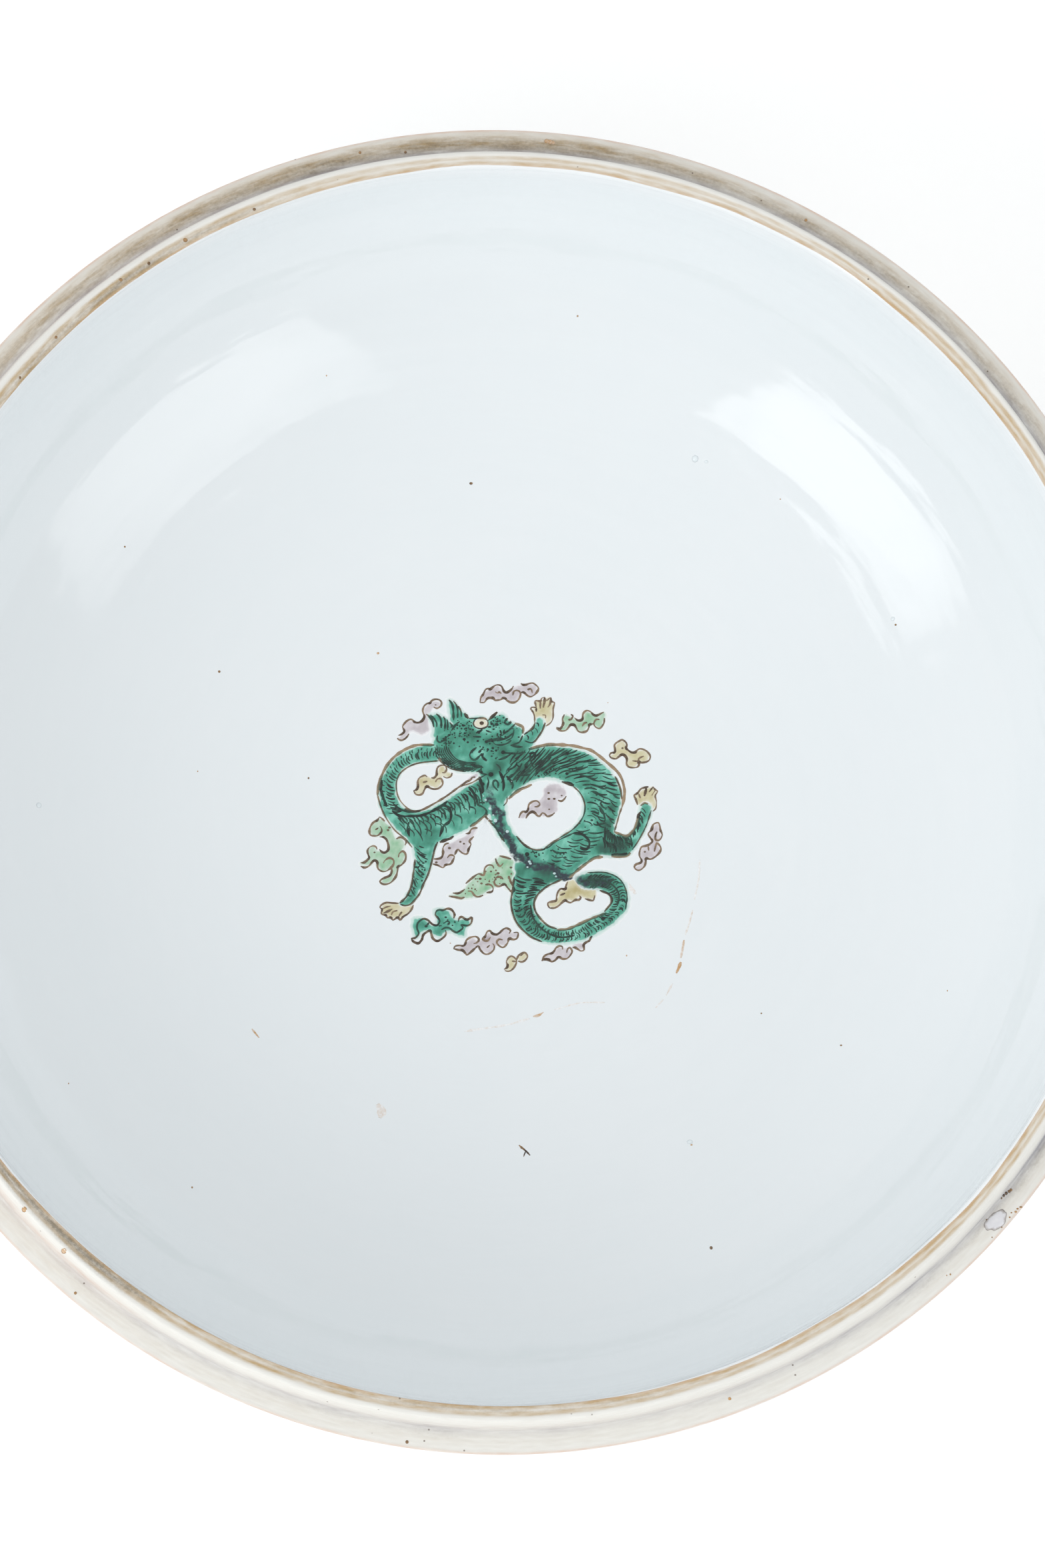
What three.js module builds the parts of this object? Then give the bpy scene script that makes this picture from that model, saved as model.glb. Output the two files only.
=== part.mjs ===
// Round porcelain box: a deep base with an upstanding flange, and the domed cover that drops over it.
// Both halves were thrown and turned on a wheel, so each is one profile revolved about its own axis.
// Millimetres, +Z up. The two halves stand side by side on the table, the base at -X with its mouth up
// and the cover at +X on its rim. The origin is on the table, midway between their axes.

import * as THREE from 'three';

// The joint between base and cover
const RIM_RADIUS = 125; // outer edge of both halves where they meet
const LEDGE_WIDTH = 4.3; // flat unglazed step that the cover's rim sits on
const FLANGE_THICKNESS = 4.5; // from the foot of the flange's outer face to the bowl's inner wall
const FLANGE_HEIGHT = 5.4; // rise of the flange above the ledge
const FLANGE_LEAN = 1.8; // how far the flange's outer face draws in from foot to crest
const FLANGE_FALL = 0.8; // how far the flange's top slopes down to the inside
const FLANGE_ROUND = 0.5; // radius worn on the flange's crest
const SEAT_CLEARANCE = 0.6; // play between the flange's foot and the cover's inner wall
const EDGE_CHAMFER = 0.4; // arris taken off the outer rim edges

// Base
const BASE_HEIGHT = 68; // table to ledge
const FLOOR_LEVEL = 12.5; // table to the middle of the bowl's floor
const FLOOR_FLAT_RADIUS = 24; // level disc at the middle of the floor
const BOWL_ROUNDNESS = [2.7, 2.25]; // superellipse powers across and down
const BASE_SHOULDER_DROP = 2.6; // upright band below the ledge
const BASE_ROUNDNESS = [2.0, 1.85];

// Foot ring
const FOOT_RADIUS = 70; // where the ring meets the body
const FOOT_HEIGHT = 7.6;
const FOOT_TAPER = 1.2; // how far the ring's outer face draws in towards the table
const FOOT_LAND = 3.6; // flat bottom of the ring
const FOOT_CHAMFER = 0.9;
const FOOT_INNER_TAPER = 1.4;
const RECESS_LEVEL = 6.2; // table to the glazed underside inside the ring
const RECESS_FILLET = 2.2;

// Cover
const COVER_HEIGHT = 61; // rim to crown
const COVER_BAND = 2.6; // upright band above the rim, as on the base
const COVER_ROUNDNESS = [2.25, 1.9];
const CROWN_THICKNESS = 6.4;
const COVER_SEAT_DEPTH = 6.6; // straight inner wall that passes over the flange
const COVER_INNER_ROUNDNESS = [2.35, 1.95];

// Layout and fineness
const REST_GAP = 25; // clear table between the two halves
const FACETS_ROUND = 96;
const BOWL_STEPS = 12;
const BASE_STEPS = 9;
const COVER_STEPS = 13;
const COVER_INNER_STEPS = 13;
const ROUND_STEPS = 3;

const bowlRadius = RIM_RADIUS - LEDGE_WIDTH - FLANGE_THICKNESS; // inner wall at the glaze line

const PORCELAIN = { color: 0xe8f0f2, roughness: 0.12, metalness: 0.0 };

const point = (radius, height) => new THREE.Vector2(radius, height);

// Stretch of a superellipse that leaves the wall upright at (middle + span, wallLevel) and turns
// towards level at wallLevel + rise. It stops at the given angle, a right angle being the level end.
function turnedCurve({ middle, span, wallLevel, rise, powers, endAngle = Math.PI / 2, steps }) {
  return Array.from({ length: steps + 1 }, (_, step) => {
    const angle = (endAngle * step) / steps;
    const across = Math.max(Math.cos(angle), 0) ** (2 / powers[0]);
    const along = Math.sin(angle) ** (2 / powers[1]);
    return point(middle + span * across, wallLevel + rise * along);
  });
}

// Round corner at `corner`, between the points before and after it, of the given radius.
function roundedCorner(before, corner, after, radius, steps = ROUND_STEPS) {
  const toBefore = before.clone().sub(corner).normalize();
  const toAfter = after.clone().sub(corner).normalize();
  const halfAngle = Math.acos(THREE.MathUtils.clamp(toBefore.dot(toAfter), -1, 1)) / 2;
  const reach = radius / Math.tan(halfAngle);
  const start = corner.clone().addScaledVector(toBefore, reach);
  const end = corner.clone().addScaledVector(toAfter, reach);
  const centre = corner
    .clone()
    .addScaledVector(toBefore.add(toAfter).normalize(), radius / Math.sin(halfAngle));
  const from = start.clone().sub(centre).angle();
  let sweep = end.clone().sub(centre).angle() - from;
  if (sweep > Math.PI) sweep -= 2 * Math.PI;
  if (sweep < -Math.PI) sweep += 2 * Math.PI;
  return Array.from({ length: steps + 1 }, (_, step) => {
    const angle = from + (sweep * step) / steps;
    return point(centre.x + radius * Math.cos(angle), centre.y + radius * Math.sin(angle));
  });
}

// Profile of the base, from the middle of the underside out over the foot ring, up the outside,
// over ledge and flange, and down the inside to the middle of the floor.
function baseProfile() {
  const footOuter = FOOT_RADIUS - FOOT_TAPER;
  const footInner = footOuter - 2 * FOOT_CHAMFER - FOOT_LAND;
  const recessRadius = footInner - FOOT_INNER_TAPER;
  const recess = roundedCorner(
    point(0, RECESS_LEVEL),
    point(recessRadius, RECESS_LEVEL),
    point(footInner, 0),
    RECESS_FILLET,
  );
  const foot = [
    point(footInner, FOOT_CHAMFER),
    point(footInner + FOOT_CHAMFER, 0),
    point(footOuter - FOOT_CHAMFER, 0),
    point(footOuter, FOOT_CHAMFER),
  ];

  const shoulder = BASE_HEIGHT - BASE_SHOULDER_DROP;
  const footAngle = Math.acos((FOOT_RADIUS / RIM_RADIUS) ** (BASE_ROUNDNESS[0] / 2));
  const outside = turnedCurve({
    middle: 0,
    span: RIM_RADIUS,
    wallLevel: shoulder,
    rise: (FOOT_HEIGHT - shoulder) / Math.sin(footAngle) ** (2 / BASE_ROUNDNESS[1]),
    powers: BASE_ROUNDNESS,
    endAngle: footAngle,
    steps: BASE_STEPS,
  }).reverse();

  const flangeFoot = point(RIM_RADIUS - LEDGE_WIDTH, BASE_HEIGHT);
  const flangeCrest = point(flangeFoot.x - FLANGE_LEAN, BASE_HEIGHT + FLANGE_HEIGHT);
  const glazeLine = point(bowlRadius, BASE_HEIGHT + FLANGE_HEIGHT - FLANGE_FALL);
  const rim = [
    point(RIM_RADIUS, BASE_HEIGHT - EDGE_CHAMFER),
    point(RIM_RADIUS - EDGE_CHAMFER, BASE_HEIGHT),
    flangeFoot,
    ...roundedCorner(flangeFoot, flangeCrest, glazeLine, FLANGE_ROUND),
    glazeLine,
  ];

  const inside = turnedCurve({
    middle: FLOOR_FLAT_RADIUS,
    span: bowlRadius - FLOOR_FLAT_RADIUS,
    wallLevel: BASE_HEIGHT,
    rise: FLOOR_LEVEL - BASE_HEIGHT,
    powers: BOWL_ROUNDNESS,
    steps: BOWL_STEPS,
  });
  return [point(0, RECESS_LEVEL), ...recess, ...foot, ...outside, ...rim, ...inside, point(0, FLOOR_LEVEL)];
}

// Profile of the cover, standing on its rim: from the middle of the ceiling down the inside,
// across the rim and up over the dome to the crown.
function coverProfile() {
  const seatRadius = RIM_RADIUS - LEDGE_WIDTH + SEAT_CLEARANCE;
  const inside = turnedCurve({
    middle: 0,
    span: seatRadius,
    wallLevel: COVER_SEAT_DEPTH,
    rise: COVER_HEIGHT - CROWN_THICKNESS - COVER_SEAT_DEPTH,
    powers: COVER_INNER_ROUNDNESS,
    steps: COVER_INNER_STEPS,
  }).reverse();
  const rim = [
    point(seatRadius, 0),
    point(RIM_RADIUS - EDGE_CHAMFER, 0),
    point(RIM_RADIUS, EDGE_CHAMFER),
  ];
  const outside = turnedCurve({
    middle: 0,
    span: RIM_RADIUS,
    wallLevel: COVER_BAND,
    rise: COVER_HEIGHT - COVER_BAND,
    powers: COVER_ROUNDNESS,
    steps: COVER_STEPS,
  });
  return [...inside, ...rim, ...outside];
}

// One thrown piece, standing on the table with its axis at the given x.
function thrownPiece(name, profile, axisX) {
  const geometry = new THREE.LatheGeometry(profile, FACETS_ROUND);
  geometry.rotateX(Math.PI / 2); // the lathe turns about +Y
  const piece = new THREE.Mesh(geometry, new THREE.MeshStandardMaterial(PORCELAIN));
  piece.name = name;
  piece.position.x = axisX;
  return piece;
}

const axisOffset = RIM_RADIUS + REST_GAP / 2;

const box = new THREE.Group();
box.name = 'porcelain_box';
box.add(thrownPiece('box_base', baseProfile(), -axisOffset));
box.add(thrownPiece('box_cover', coverProfile(), axisOffset));

export default box;
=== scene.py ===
"""Round porcelain box: the base with a dragon painted on its floor, and the cover set down beside it.

The script is laid out as a Blender add-on and is run as it stands. It loads the solid model as a fixed
frame, makes the visible surfaces round it and lays out a small photographer's table. Shapes are worked
out in millimetres about the axis of the half that they belong to, and go into their meshes in metres.
"""

import functools
import math
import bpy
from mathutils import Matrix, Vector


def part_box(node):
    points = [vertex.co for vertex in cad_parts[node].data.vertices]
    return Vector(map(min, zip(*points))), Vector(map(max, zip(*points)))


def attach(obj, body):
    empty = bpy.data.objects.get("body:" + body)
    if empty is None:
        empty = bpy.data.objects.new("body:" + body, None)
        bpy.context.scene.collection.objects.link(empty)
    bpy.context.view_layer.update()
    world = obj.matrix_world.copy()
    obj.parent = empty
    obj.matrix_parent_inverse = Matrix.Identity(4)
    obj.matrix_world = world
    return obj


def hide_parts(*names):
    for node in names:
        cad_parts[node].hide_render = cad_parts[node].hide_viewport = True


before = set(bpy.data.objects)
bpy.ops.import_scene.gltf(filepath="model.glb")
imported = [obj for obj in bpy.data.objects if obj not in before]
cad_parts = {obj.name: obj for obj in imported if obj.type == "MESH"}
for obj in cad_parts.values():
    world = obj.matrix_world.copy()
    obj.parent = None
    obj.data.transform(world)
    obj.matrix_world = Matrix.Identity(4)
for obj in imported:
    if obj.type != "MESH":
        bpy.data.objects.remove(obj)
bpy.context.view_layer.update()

from types import SimpleNamespace

import bpy
import numpy as np
from bpy.props import FloatProperty, FloatVectorProperty, PointerProperty
from mathutils import Matrix, Vector

bl_info = {
    "name": "Porcelain Dragon Box",
    "version": (1, 0, 0),
    "blender": (4, 5, 0),
    "location": "View3D > Sidebar > Porcelain",
    "description": "Builds the looks of a round porcelain box and the table it is photographed on",
    "category": "Object",
}

MM = 0.001  # metres in a millimetre
base_low, base_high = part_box("box_base")
cover_low, cover_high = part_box("box_cover")
BASE_AXIS = (base_low.x + base_high.x) / 2 / MM  # mm along X
COVER_AXIS = (cover_low.x + cover_high.x) / 2 / MM


def linear(colour):
    """The linear RGBA of an sRGB hex colour such as #E8F0F2."""
    parts = np.array([int(colour[i : i + 2], 16) for i in (1, 3, 5)]) / 255
    low, high = parts / 12.92, ((parts + 0.055) / 1.055) ** 2.4
    return (*np.where(parts <= 0.04045, low, high).tolist(), 1.0)


def length(name, description, millimetres):
    """A length property, shown in the scene's unit."""
    size = millimetres * MM
    return FloatProperty(name=name, description=description, default=size, unit="LENGTH", precision=5)


def colour(name, description, hex_colour):
    """A colour property."""
    tone = linear(hex_colour)
    return FloatVectorProperty(
        name=name, description=description, default=tone, size=4, min=0, max=1, subtype="COLOR")


def spot(name, description, metres):
    """A place in space, from the middle of the base's mouth."""
    return FloatVectorProperty(name=name, description=description, default=metres, subtype="TRANSLATION")


def plain(name, description, value):
    """A plain number."""
    return FloatProperty(name=name, description=description, default=value)


class PORCELAIN_PG_form(bpy.types.PropertyGroup):
    """Sizes of the thrown halves. What the frame can say comes from the frame."""

    rim_radius: length("Rim radius", "Outer edge where the halves meet", (base_high.x - base_low.x) / 2 / MM)
    ledge_width: length("Ledge width", "Flat unglazed step that the cover sits on", 4.3)
    ledge_height: length("Ledge height", "Table to ledge", 68)
    flange_thickness: length("Flange thickness", "Foot of the flange's outer face to the glaze line", 4.5)
    flange_height: length("Flange height", "Rise of the flange above the ledge", 5.38)
    flange_lean: length("Flange lean", "How far the flange's outer face draws in", 1.8)
    flange_fall: length("Flange fall", "How far the flange's top slopes down to the inside", 0.8)
    flange_round: length("Flange round", "Radius worn on the flange's crest", 0.5)
    corner_round: length("Corner round", "Radius at the foot of the flange and on the rim's edges", 0.35)
    band: length("Band", "Upright band below the ledge and above the cover's rim", 2.6)
    floor_level: length("Floor level", "Table to the middle of the bowl's floor", 12.5)
    floor_radius: length("Floor radius", "Level disc in the middle of the floor", 24)
    foot_radius: length("Foot radius", "Where the foot ring meets the body", 70)
    foot_height: length("Foot height", "Height of the foot ring", 7.6)
    foot_taper: length("Foot taper", "How far the ring's outer face draws in", 1.2)
    foot_land: length("Foot land", "Flat bottom of the foot ring", 3.6)
    foot_chamfer: length("Foot chamfer", "Chamfer on both sides of the land", 0.9)
    foot_inner_taper: length("Foot inner taper", "How far the ring's inner face draws in", 1.4)
    recess_level: length("Recess level", "Table to the glazed underside", 6.2)
    recess_fillet: length("Recess fillet", "Radius between the ring and the underside", 2.2)
    cover_height: length("Cover height", "Rim to crown", (cover_high.z - cover_low.z) / MM)
    crown_thickness: length("Crown thickness", "Wall at the middle of the cover", 6.4)
    seat_depth: length("Seat depth", "Straight inner wall that passes over the flange", 6.6)
    seat_clearance: length("Seat clearance", "Play between flange and cover", 0.6)
    ring_relief: length("Ring relief", "Height of the throwing rings left in the glaze", 0.022)


class PORCELAIN_PG_finish(bpy.types.PropertyGroup):
    """Colours of the glaze, the bare body, the dirt, a grey of painted shade and dirt, and the enamels."""

    glaze: colour("Glaze", "Feldspathic glaze, thin", "#F0F2F3")
    glaze_blue: colour("Glaze, thick", "The same glaze where it lies thick", "#E8EDEF")
    biscuit: colour("Biscuit", "Unglazed fired body", "#E9E9E4")
    # Painted shade mixed with dirt: this grey darkens the inner corner at the flange's foot, where shade
    # falls.
    lavender: colour("Lavender grey", "Worn-in grey at the foot of the flange", "#A2A2A8")
    tan: colour("Tan", "Body burnt tan beside the glaze line", "#BDA47C")
    grime: colour("Grime", "Old dirt in the bare body", "#6E6556")
    rust: colour("Rust", "Iron bloom at the outer edge", "#D3A88C")
    green_thin: colour("Green, thin", "Green enamel at its edge", "#7BC6B1")
    green_even: colour("Green", "Green enamel, evenly laid", "#479D86")
    green_pooled: colour("Green, pooled", "Green enamel where it lies thick", "#22705A")
    pale_green_thin: colour("Pale green, thin", "Pale green enamel at its edge", "#C4D8C8")
    pale_green_even: colour("Pale green", "Pale green enamel, evenly laid", "#A0C6A6")
    pale_green_pooled: colour("Pale green, pooled", "Pale green enamel where it lies thick", "#60AA7C")
    yellow_thin: colour("Yellow, thin", "Yellow enamel at its edge", "#DFDBC6")
    yellow_even: colour("Yellow", "Yellow enamel, evenly laid", "#CFC8A2")
    yellow_pooled: colour("Yellow, pooled", "Yellow enamel where it lies thick", "#B5A976")
    aubergine_thin: colour("Aubergine, thin", "Aubergine enamel at its edge", "#DCD8DC")
    aubergine_even: colour("Aubergine", "Aubergine enamel, evenly laid", "#C6BFC3")
    aubergine_pooled: colour("Aubergine, pooled", "Aubergine enamel where it lies thick", "#A99FA6")
    ink: colour("Line, loaded", "Brush line with much ink", "#4A392B")
    dry_ink: colour("Line, dry", "Brush line with little ink", "#B39A7C")


class PORCELAIN_PG_stage(bpy.types.PropertyGroup):
    """The table, its lights and the camera. Places are from the middle of the base's mouth."""

    camera_place: spot("Camera place", "Where the lens is", (-0.0492, -0.1257, 0.8001))
    camera_aim: spot("Camera aim", "What the lens points at", (0.0035, -0.00148, 0))
    picture_lean: plain("Picture lean", "Turn of the picture's upright from +Y, in degrees", 1.885)
    focal_length: plain("Focal length", "In millimetres", 100)
    world_light: plain("Room light", "Even light of the pale room", 0.74)
    floor_glow: plain("Floor glow", "Light from under the white table top", 0.12)
    key_light: plain("Key light", "Radiance of the softbox at the front left", 1.85)
    fill_light: plain("Fill light", "Radiance of the softbox at the front right", 1.345)
    table_half: plain("Table", "Half the width of the table top, in metres", 3)


def in_mm(group):
    """The group's lengths in millimetres, under their own names."""
    return SimpleNamespace(**{name: getattr(group, name) / MM for name in type(group).__annotations__})


def mouth():
    """The middle of the base's mouth, on its axis at the height of the ledge, in metres."""
    return Vector((BASE_AXIS * MM, 0, bpy.context.scene.porcelain_form.ledge_height))


def new_piece(name, points, faces, body, materials, attributes=None, face_material=None):
    """Puts points, in mm in the frame, and faces, arrays of three or four corners a row, into one mesh
    piece that rides on a body. attributes are arrays with one number, or one row of three, a point."""
    mesh = bpy.data.meshes.new(name)
    corners = np.concatenate([part.ravel() for part in faces])
    sides = np.concatenate([np.full(len(part), part.shape[1]) for part in faces])
    mesh.vertices.add(len(points))
    mesh.vertices.foreach_set("co", (points * MM).astype(np.float32).ravel())
    mesh.loops.add(len(corners))
    mesh.loops.foreach_set("vertex_index", corners.astype(np.int32))
    mesh.polygons.add(len(sides))
    mesh.polygons.foreach_set("loop_start", (np.cumsum(sides) - sides).astype(np.int32))
    mesh.polygons.foreach_set("use_smooth", np.ones(len(sides), bool))
    for label, values in (attributes or {}).items():
        vector = values.ndim == 2
        layer = mesh.attributes.new(label, "FLOAT_VECTOR" if vector else "FLOAT", "POINT")
        layer.data.foreach_set("vector" if vector else "value", values.astype(np.float32).ravel())
    for material in materials:
        mesh.materials.append(material)
    if face_material is not None:
        mesh.polygons.foreach_set("material_index", face_material.astype(np.int32))
    mesh.update(calc_edges=True)
    if mesh.validate():
        raise RuntimeError(f"{name}: the mesh held broken faces")
    piece = bpy.data.objects.new(name, mesh)
    bpy.context.scene.collection.objects.link(piece)
    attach(piece, body)
    return piece


class Profile:
    """Section of a thrown half, from the middle of one side to the middle of the other, as points
    (radius, height) in named stretches. Its normal points out of the clay."""

    def __init__(self, stretches):
        joined = np.vstack(list(stretches.values()))
        steps = np.hypot(*np.diff(joined, axis=0).T)
        keep = np.concatenate([[True], steps > 1e-6])
        self.points = joined[keep]
        self.along = np.concatenate([[0], np.cumsum(np.hypot(*np.diff(self.points, axis=0).T))])
        last = np.cumsum([len(part) for part in stretches.values()]) - 1
        self.end = dict(zip(stretches, self.along[np.cumsum(keep)[last] - 1]))

    def at(self, along):
        """Radius and height that far along the profile."""
        return tuple(np.interp(along, self.along, values) for values in self.points.T)

    def normal(self, along, reach=0.15):
        """Unit normal there, from the chord a little to both sides, so that it turns smoothly."""
        before, after = self.at(along - reach), self.at(along + reach)
        across, up = after[0] - before[0], after[1] - before[1]
        size = np.hypot(across, up)
        return up / size, -across / size

    def rows(self, steps):
        """Places along the profile, stretch by stretch, about as far apart as steps says for each."""
        starts = [0, *list(self.end.values())[:-1]]
        parts = [
            np.linspace(start, end, max(2, round((end - start) / steps[name]) + 1))[:-1]
            for start, (name, end) in zip(starts, self.end.items())
        ]
        return np.concatenate([*parts, [self.along[-1]]])


def turned_curve(middle, span, wall, rise, powers, last=math.pi / 2, steps=400):
    """Superellipse stretch: radius middle + span cos(a)^(2/p), height wall + rise sin(a)^(2/q)."""
    angle = np.linspace(0, last, steps)
    across = np.cos(angle).clip(0) ** (2 / powers[0])
    along = np.sin(angle) ** (2 / powers[1])
    return np.column_stack([middle + span * across, wall + rise * along])


def rounded(points, radii, steps=8):
    """The line through the points, with an arc of the given radius in place of each inner corner."""
    points = np.array(points, float)
    parts = [points[:1]]
    for before, corner, after, radius in zip(points, points[1:], points[2:], radii):
        back, on = ((side - corner) / np.hypot(*(side - corner)) for side in (before, after))
        half = math.acos(np.clip(back @ on, -1, 1)) / 2
        start, end = corner + back * radius / math.tan(half), corner + on * radius / math.tan(half)
        centre = corner + (back + on) / np.hypot(*(back + on)) * radius / math.sin(half)
        share = np.linspace(0, 1, steps)[:, None]
        arc = start * (1 - share) + end * share - centre
        parts.append(centre + arc / np.hypot(*arc.T)[:, None] * radius)
    return np.vstack([*parts, points[-1:]])


LAND_ROUND = 0.5  # mm, radius worn on the edges of the foot's land
# Powers of the superellipses, across and along
BOWL_POWERS = (2.7, 2.25)
BASE_POWERS = (2.0, 1.85)
COVER_POWERS = (2.25, 1.9)
CEILING_POWERS = (2.35, 1.95)


def base_profile(form):
    """The base, from the middle of the underside out over the foot ring, up the outside, over ledge
    and flange, and down the inside to the middle of the floor."""
    foot_out = form.foot_radius - form.foot_taper
    foot_in = foot_out - 2 * form.foot_chamfer - form.foot_land
    recess_in = foot_in - form.foot_inner_taper
    recess = [(0, form.recess_level), (recess_in, form.recess_level), (foot_in, form.foot_chamfer)]
    recess = rounded(recess, [form.recess_fillet])
    bevel = form.foot_chamfer
    land = [(foot_in, bevel), (foot_in + bevel, 0), (foot_out - bevel, 0), (foot_out, bevel)]
    land = rounded(land, [LAND_ROUND] * 2)
    shoulder = form.ledge_height - form.band
    last = math.acos((form.foot_radius / form.rim_radius) ** (BASE_POWERS[0] / 2))
    rise = (form.foot_height - shoulder) / math.sin(last) ** (2 / BASE_POWERS[1])
    outside = turned_curve(0, form.rim_radius, shoulder, rise, BASE_POWERS, last)[::-1]
    ledge_in = form.rim_radius - form.ledge_width
    crest = (ledge_in - form.flange_lean, form.ledge_height + form.flange_height)
    bowl_radius = ledge_in - form.flange_thickness
    glaze_line = (bowl_radius, form.ledge_height + form.flange_height - form.flange_fall)
    top = form.ledge_height
    edge = [(form.rim_radius, shoulder), (form.rim_radius, top), (ledge_in - 1, top)]
    edge = rounded(edge, [form.corner_round])[:-1]
    ledge = rounded([edge[-1], (ledge_in, top), crest], [form.corner_round])[:-1]
    flange = rounded([ledge[-1], crest, glaze_line], [form.flange_round])
    span, fall = bowl_radius - form.floor_radius, form.floor_level - form.ledge_height
    bowl = turned_curve(form.floor_radius, span, form.ledge_height, fall, BOWL_POWERS)
    inside = np.vstack([[glaze_line], bowl, [(0, form.floor_level)]])
    return Profile(
        {"recess": recess, "land": land, "outside": outside, "edge": edge, "ledge": ledge, "flange": flange,
         "inside": inside})


def cover_profile(form):
    """The cover on its rim, from the middle of the ceiling down the inside, across the rim and up over
    the dome to the crown."""
    seat = form.rim_radius - form.ledge_width + form.seat_clearance
    ceiling = form.cover_height - form.crown_thickness
    inside = turned_curve(0, seat, form.seat_depth, ceiling - form.seat_depth, CEILING_POWERS)[::-1]
    rim = [(seat, form.seat_depth), (seat, 0), (form.rim_radius, 0), (form.rim_radius, form.band)]
    rim = rounded(rim, [form.corner_round] * 2)
    outside = turned_curve(0, form.rim_radius, form.band, form.cover_height - form.band, COVER_POWERS)
    return Profile({"inside": inside, "rim": rim, "outside": outside})


def throwing_rings(radius, turn, relief, seed):
    """Relief that a potter's fingers leave, in mm: a sum of waves across the radius, each drawn into a
    spiral by adding whole turns to its phase, so that it meets itself after one turn."""
    chance = np.random.default_rng(seed)
    pitches, shares, spirals = (23.0, 9.5, 5.2, 3.1), (1.5, 1.0, 0.6, 0.25), (1, 2, -1, 1)
    height = np.zeros(np.broadcast(radius, turn).shape)
    for pitch, share, spiral in zip(pitches, shares, spirals):
        start, wander = chance.uniform(0, 2 * math.pi, 2)
        phase = 2 * math.pi * radius / pitch + spiral * turn + start
        height = height + share * np.cos(phase + 0.8 * np.sin(turn + wander))
    return relief * height


def hump(value, middle, spread):
    """Bell curve of height 1."""
    return np.exp(-(((value - middle) / spread) ** 2))


def ease(value, start, end):
    """0 before start, 1 after end, and smooth between them."""
    share = np.clip((value - start) / (end - start), 0, 1)
    return share * share * (3 - 2 * share)


def round_the_wheel(turn, marks):
    """A strength for every angle, from a few (degrees, strength) marks, joined smoothly and closed."""
    degrees, strength = np.array(marks, float).T
    degrees = np.concatenate([degrees - 360, degrees, degrees + 360])
    strength = np.tile(strength, 3)
    at = np.degrees(turn) % 360
    after = np.searchsorted(degrees, at, side="right")
    share = ease(at, degrees[after - 1], degrees[after])
    return strength[after - 1] * (1 - share) + strength[after] * share


def ring_quads(number):
    """Quads between the rows of a grid of point numbers whose rows close into rings, and the numbers one
    place on round the rings."""
    beside = np.roll(number, -1, axis=1)
    return np.stack([number[:-1], number[1:], beside[1:], beside[:-1]], -1).reshape(-1, 4), beside


def wheel_piece(name, profile, along, slide, push, axis_x, body, materials, attributes, bare):
    """Surface of revolution with unevenness: the point at row s and angle t lies at
    profile(s + slide) + push * normal(s), turned by t about the upright axis. The first and last rows
    are single points on the axis. bare says which rows of faces have the second material."""
    radius, height = profile.at(along[:, None] + slide)
    out, up = profile.normal(along)
    radius = radius + push * out[:, None]
    height = height + push * up[:, None]
    around = radius.shape[1]
    turn = np.arange(around) * 2 * math.pi / around
    grid = np.stack([axis_x + radius * np.cos(turn), radius * np.sin(turn), height], -1)
    first, last = ([[axis_x, 0, height[row].mean()]] for row in (0, -1))
    points = np.vstack([first, grid[1:-1].reshape(-1, 3), last])
    number = 1 + np.arange((len(along) - 2) * around).reshape(-1, around)
    quads, beside = ring_quads(number)
    near_cap = np.stack([np.zeros(around, int), beside[0], number[0]], -1)
    far_cap = np.stack([np.full(around, len(points) - 1), number[-1], beside[-1]], -1)
    faces = [quads[:, ::-1], np.vstack([near_cap, far_cap])]
    kinds = np.concatenate([np.repeat(bare[1:-1], around), np.repeat(bare[[0, -1]], around)])
    drum = 20  # mm, radius on which the turning lines' texture is wound
    wheel = np.stack(np.broadcast_arrays(drum * np.cos(turn), drum * np.sin(turn), along[:, None]), -1) * MM
    attributes = {"wheel": wheel, **attributes}
    flat = {
        label: np.concatenate([values[:1, 0], values[1:-1].reshape(-1, *values.shape[2:]), values[-1:, 0]])
        for label, values in attributes.items()
    }
    return new_piece(name, points, faces, body, materials, flat, kinds)


ROUND = 256  # columns round each thrown half


def base_layout(form):
    """Profile, row places and angles of the base's surface."""
    profile = base_profile(form)
    steps = (2.4, 0.35, 1.5, 0.3, 0.25, 0.22, 0.85)  # mm between rows, in the order of the stretches
    return profile, profile.rows(dict(zip(profile.end, steps))), np.arange(ROUND) * 2 * math.pi / ROUND


def bowl_relief(form, radius, turn):
    """How far the inner glaze stands off its curve, in mm: throwing rings that fade at the glaze line."""
    return throwing_rings(radius, turn, form.ring_relief, 11) * ease(radius, 117, 108)


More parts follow.
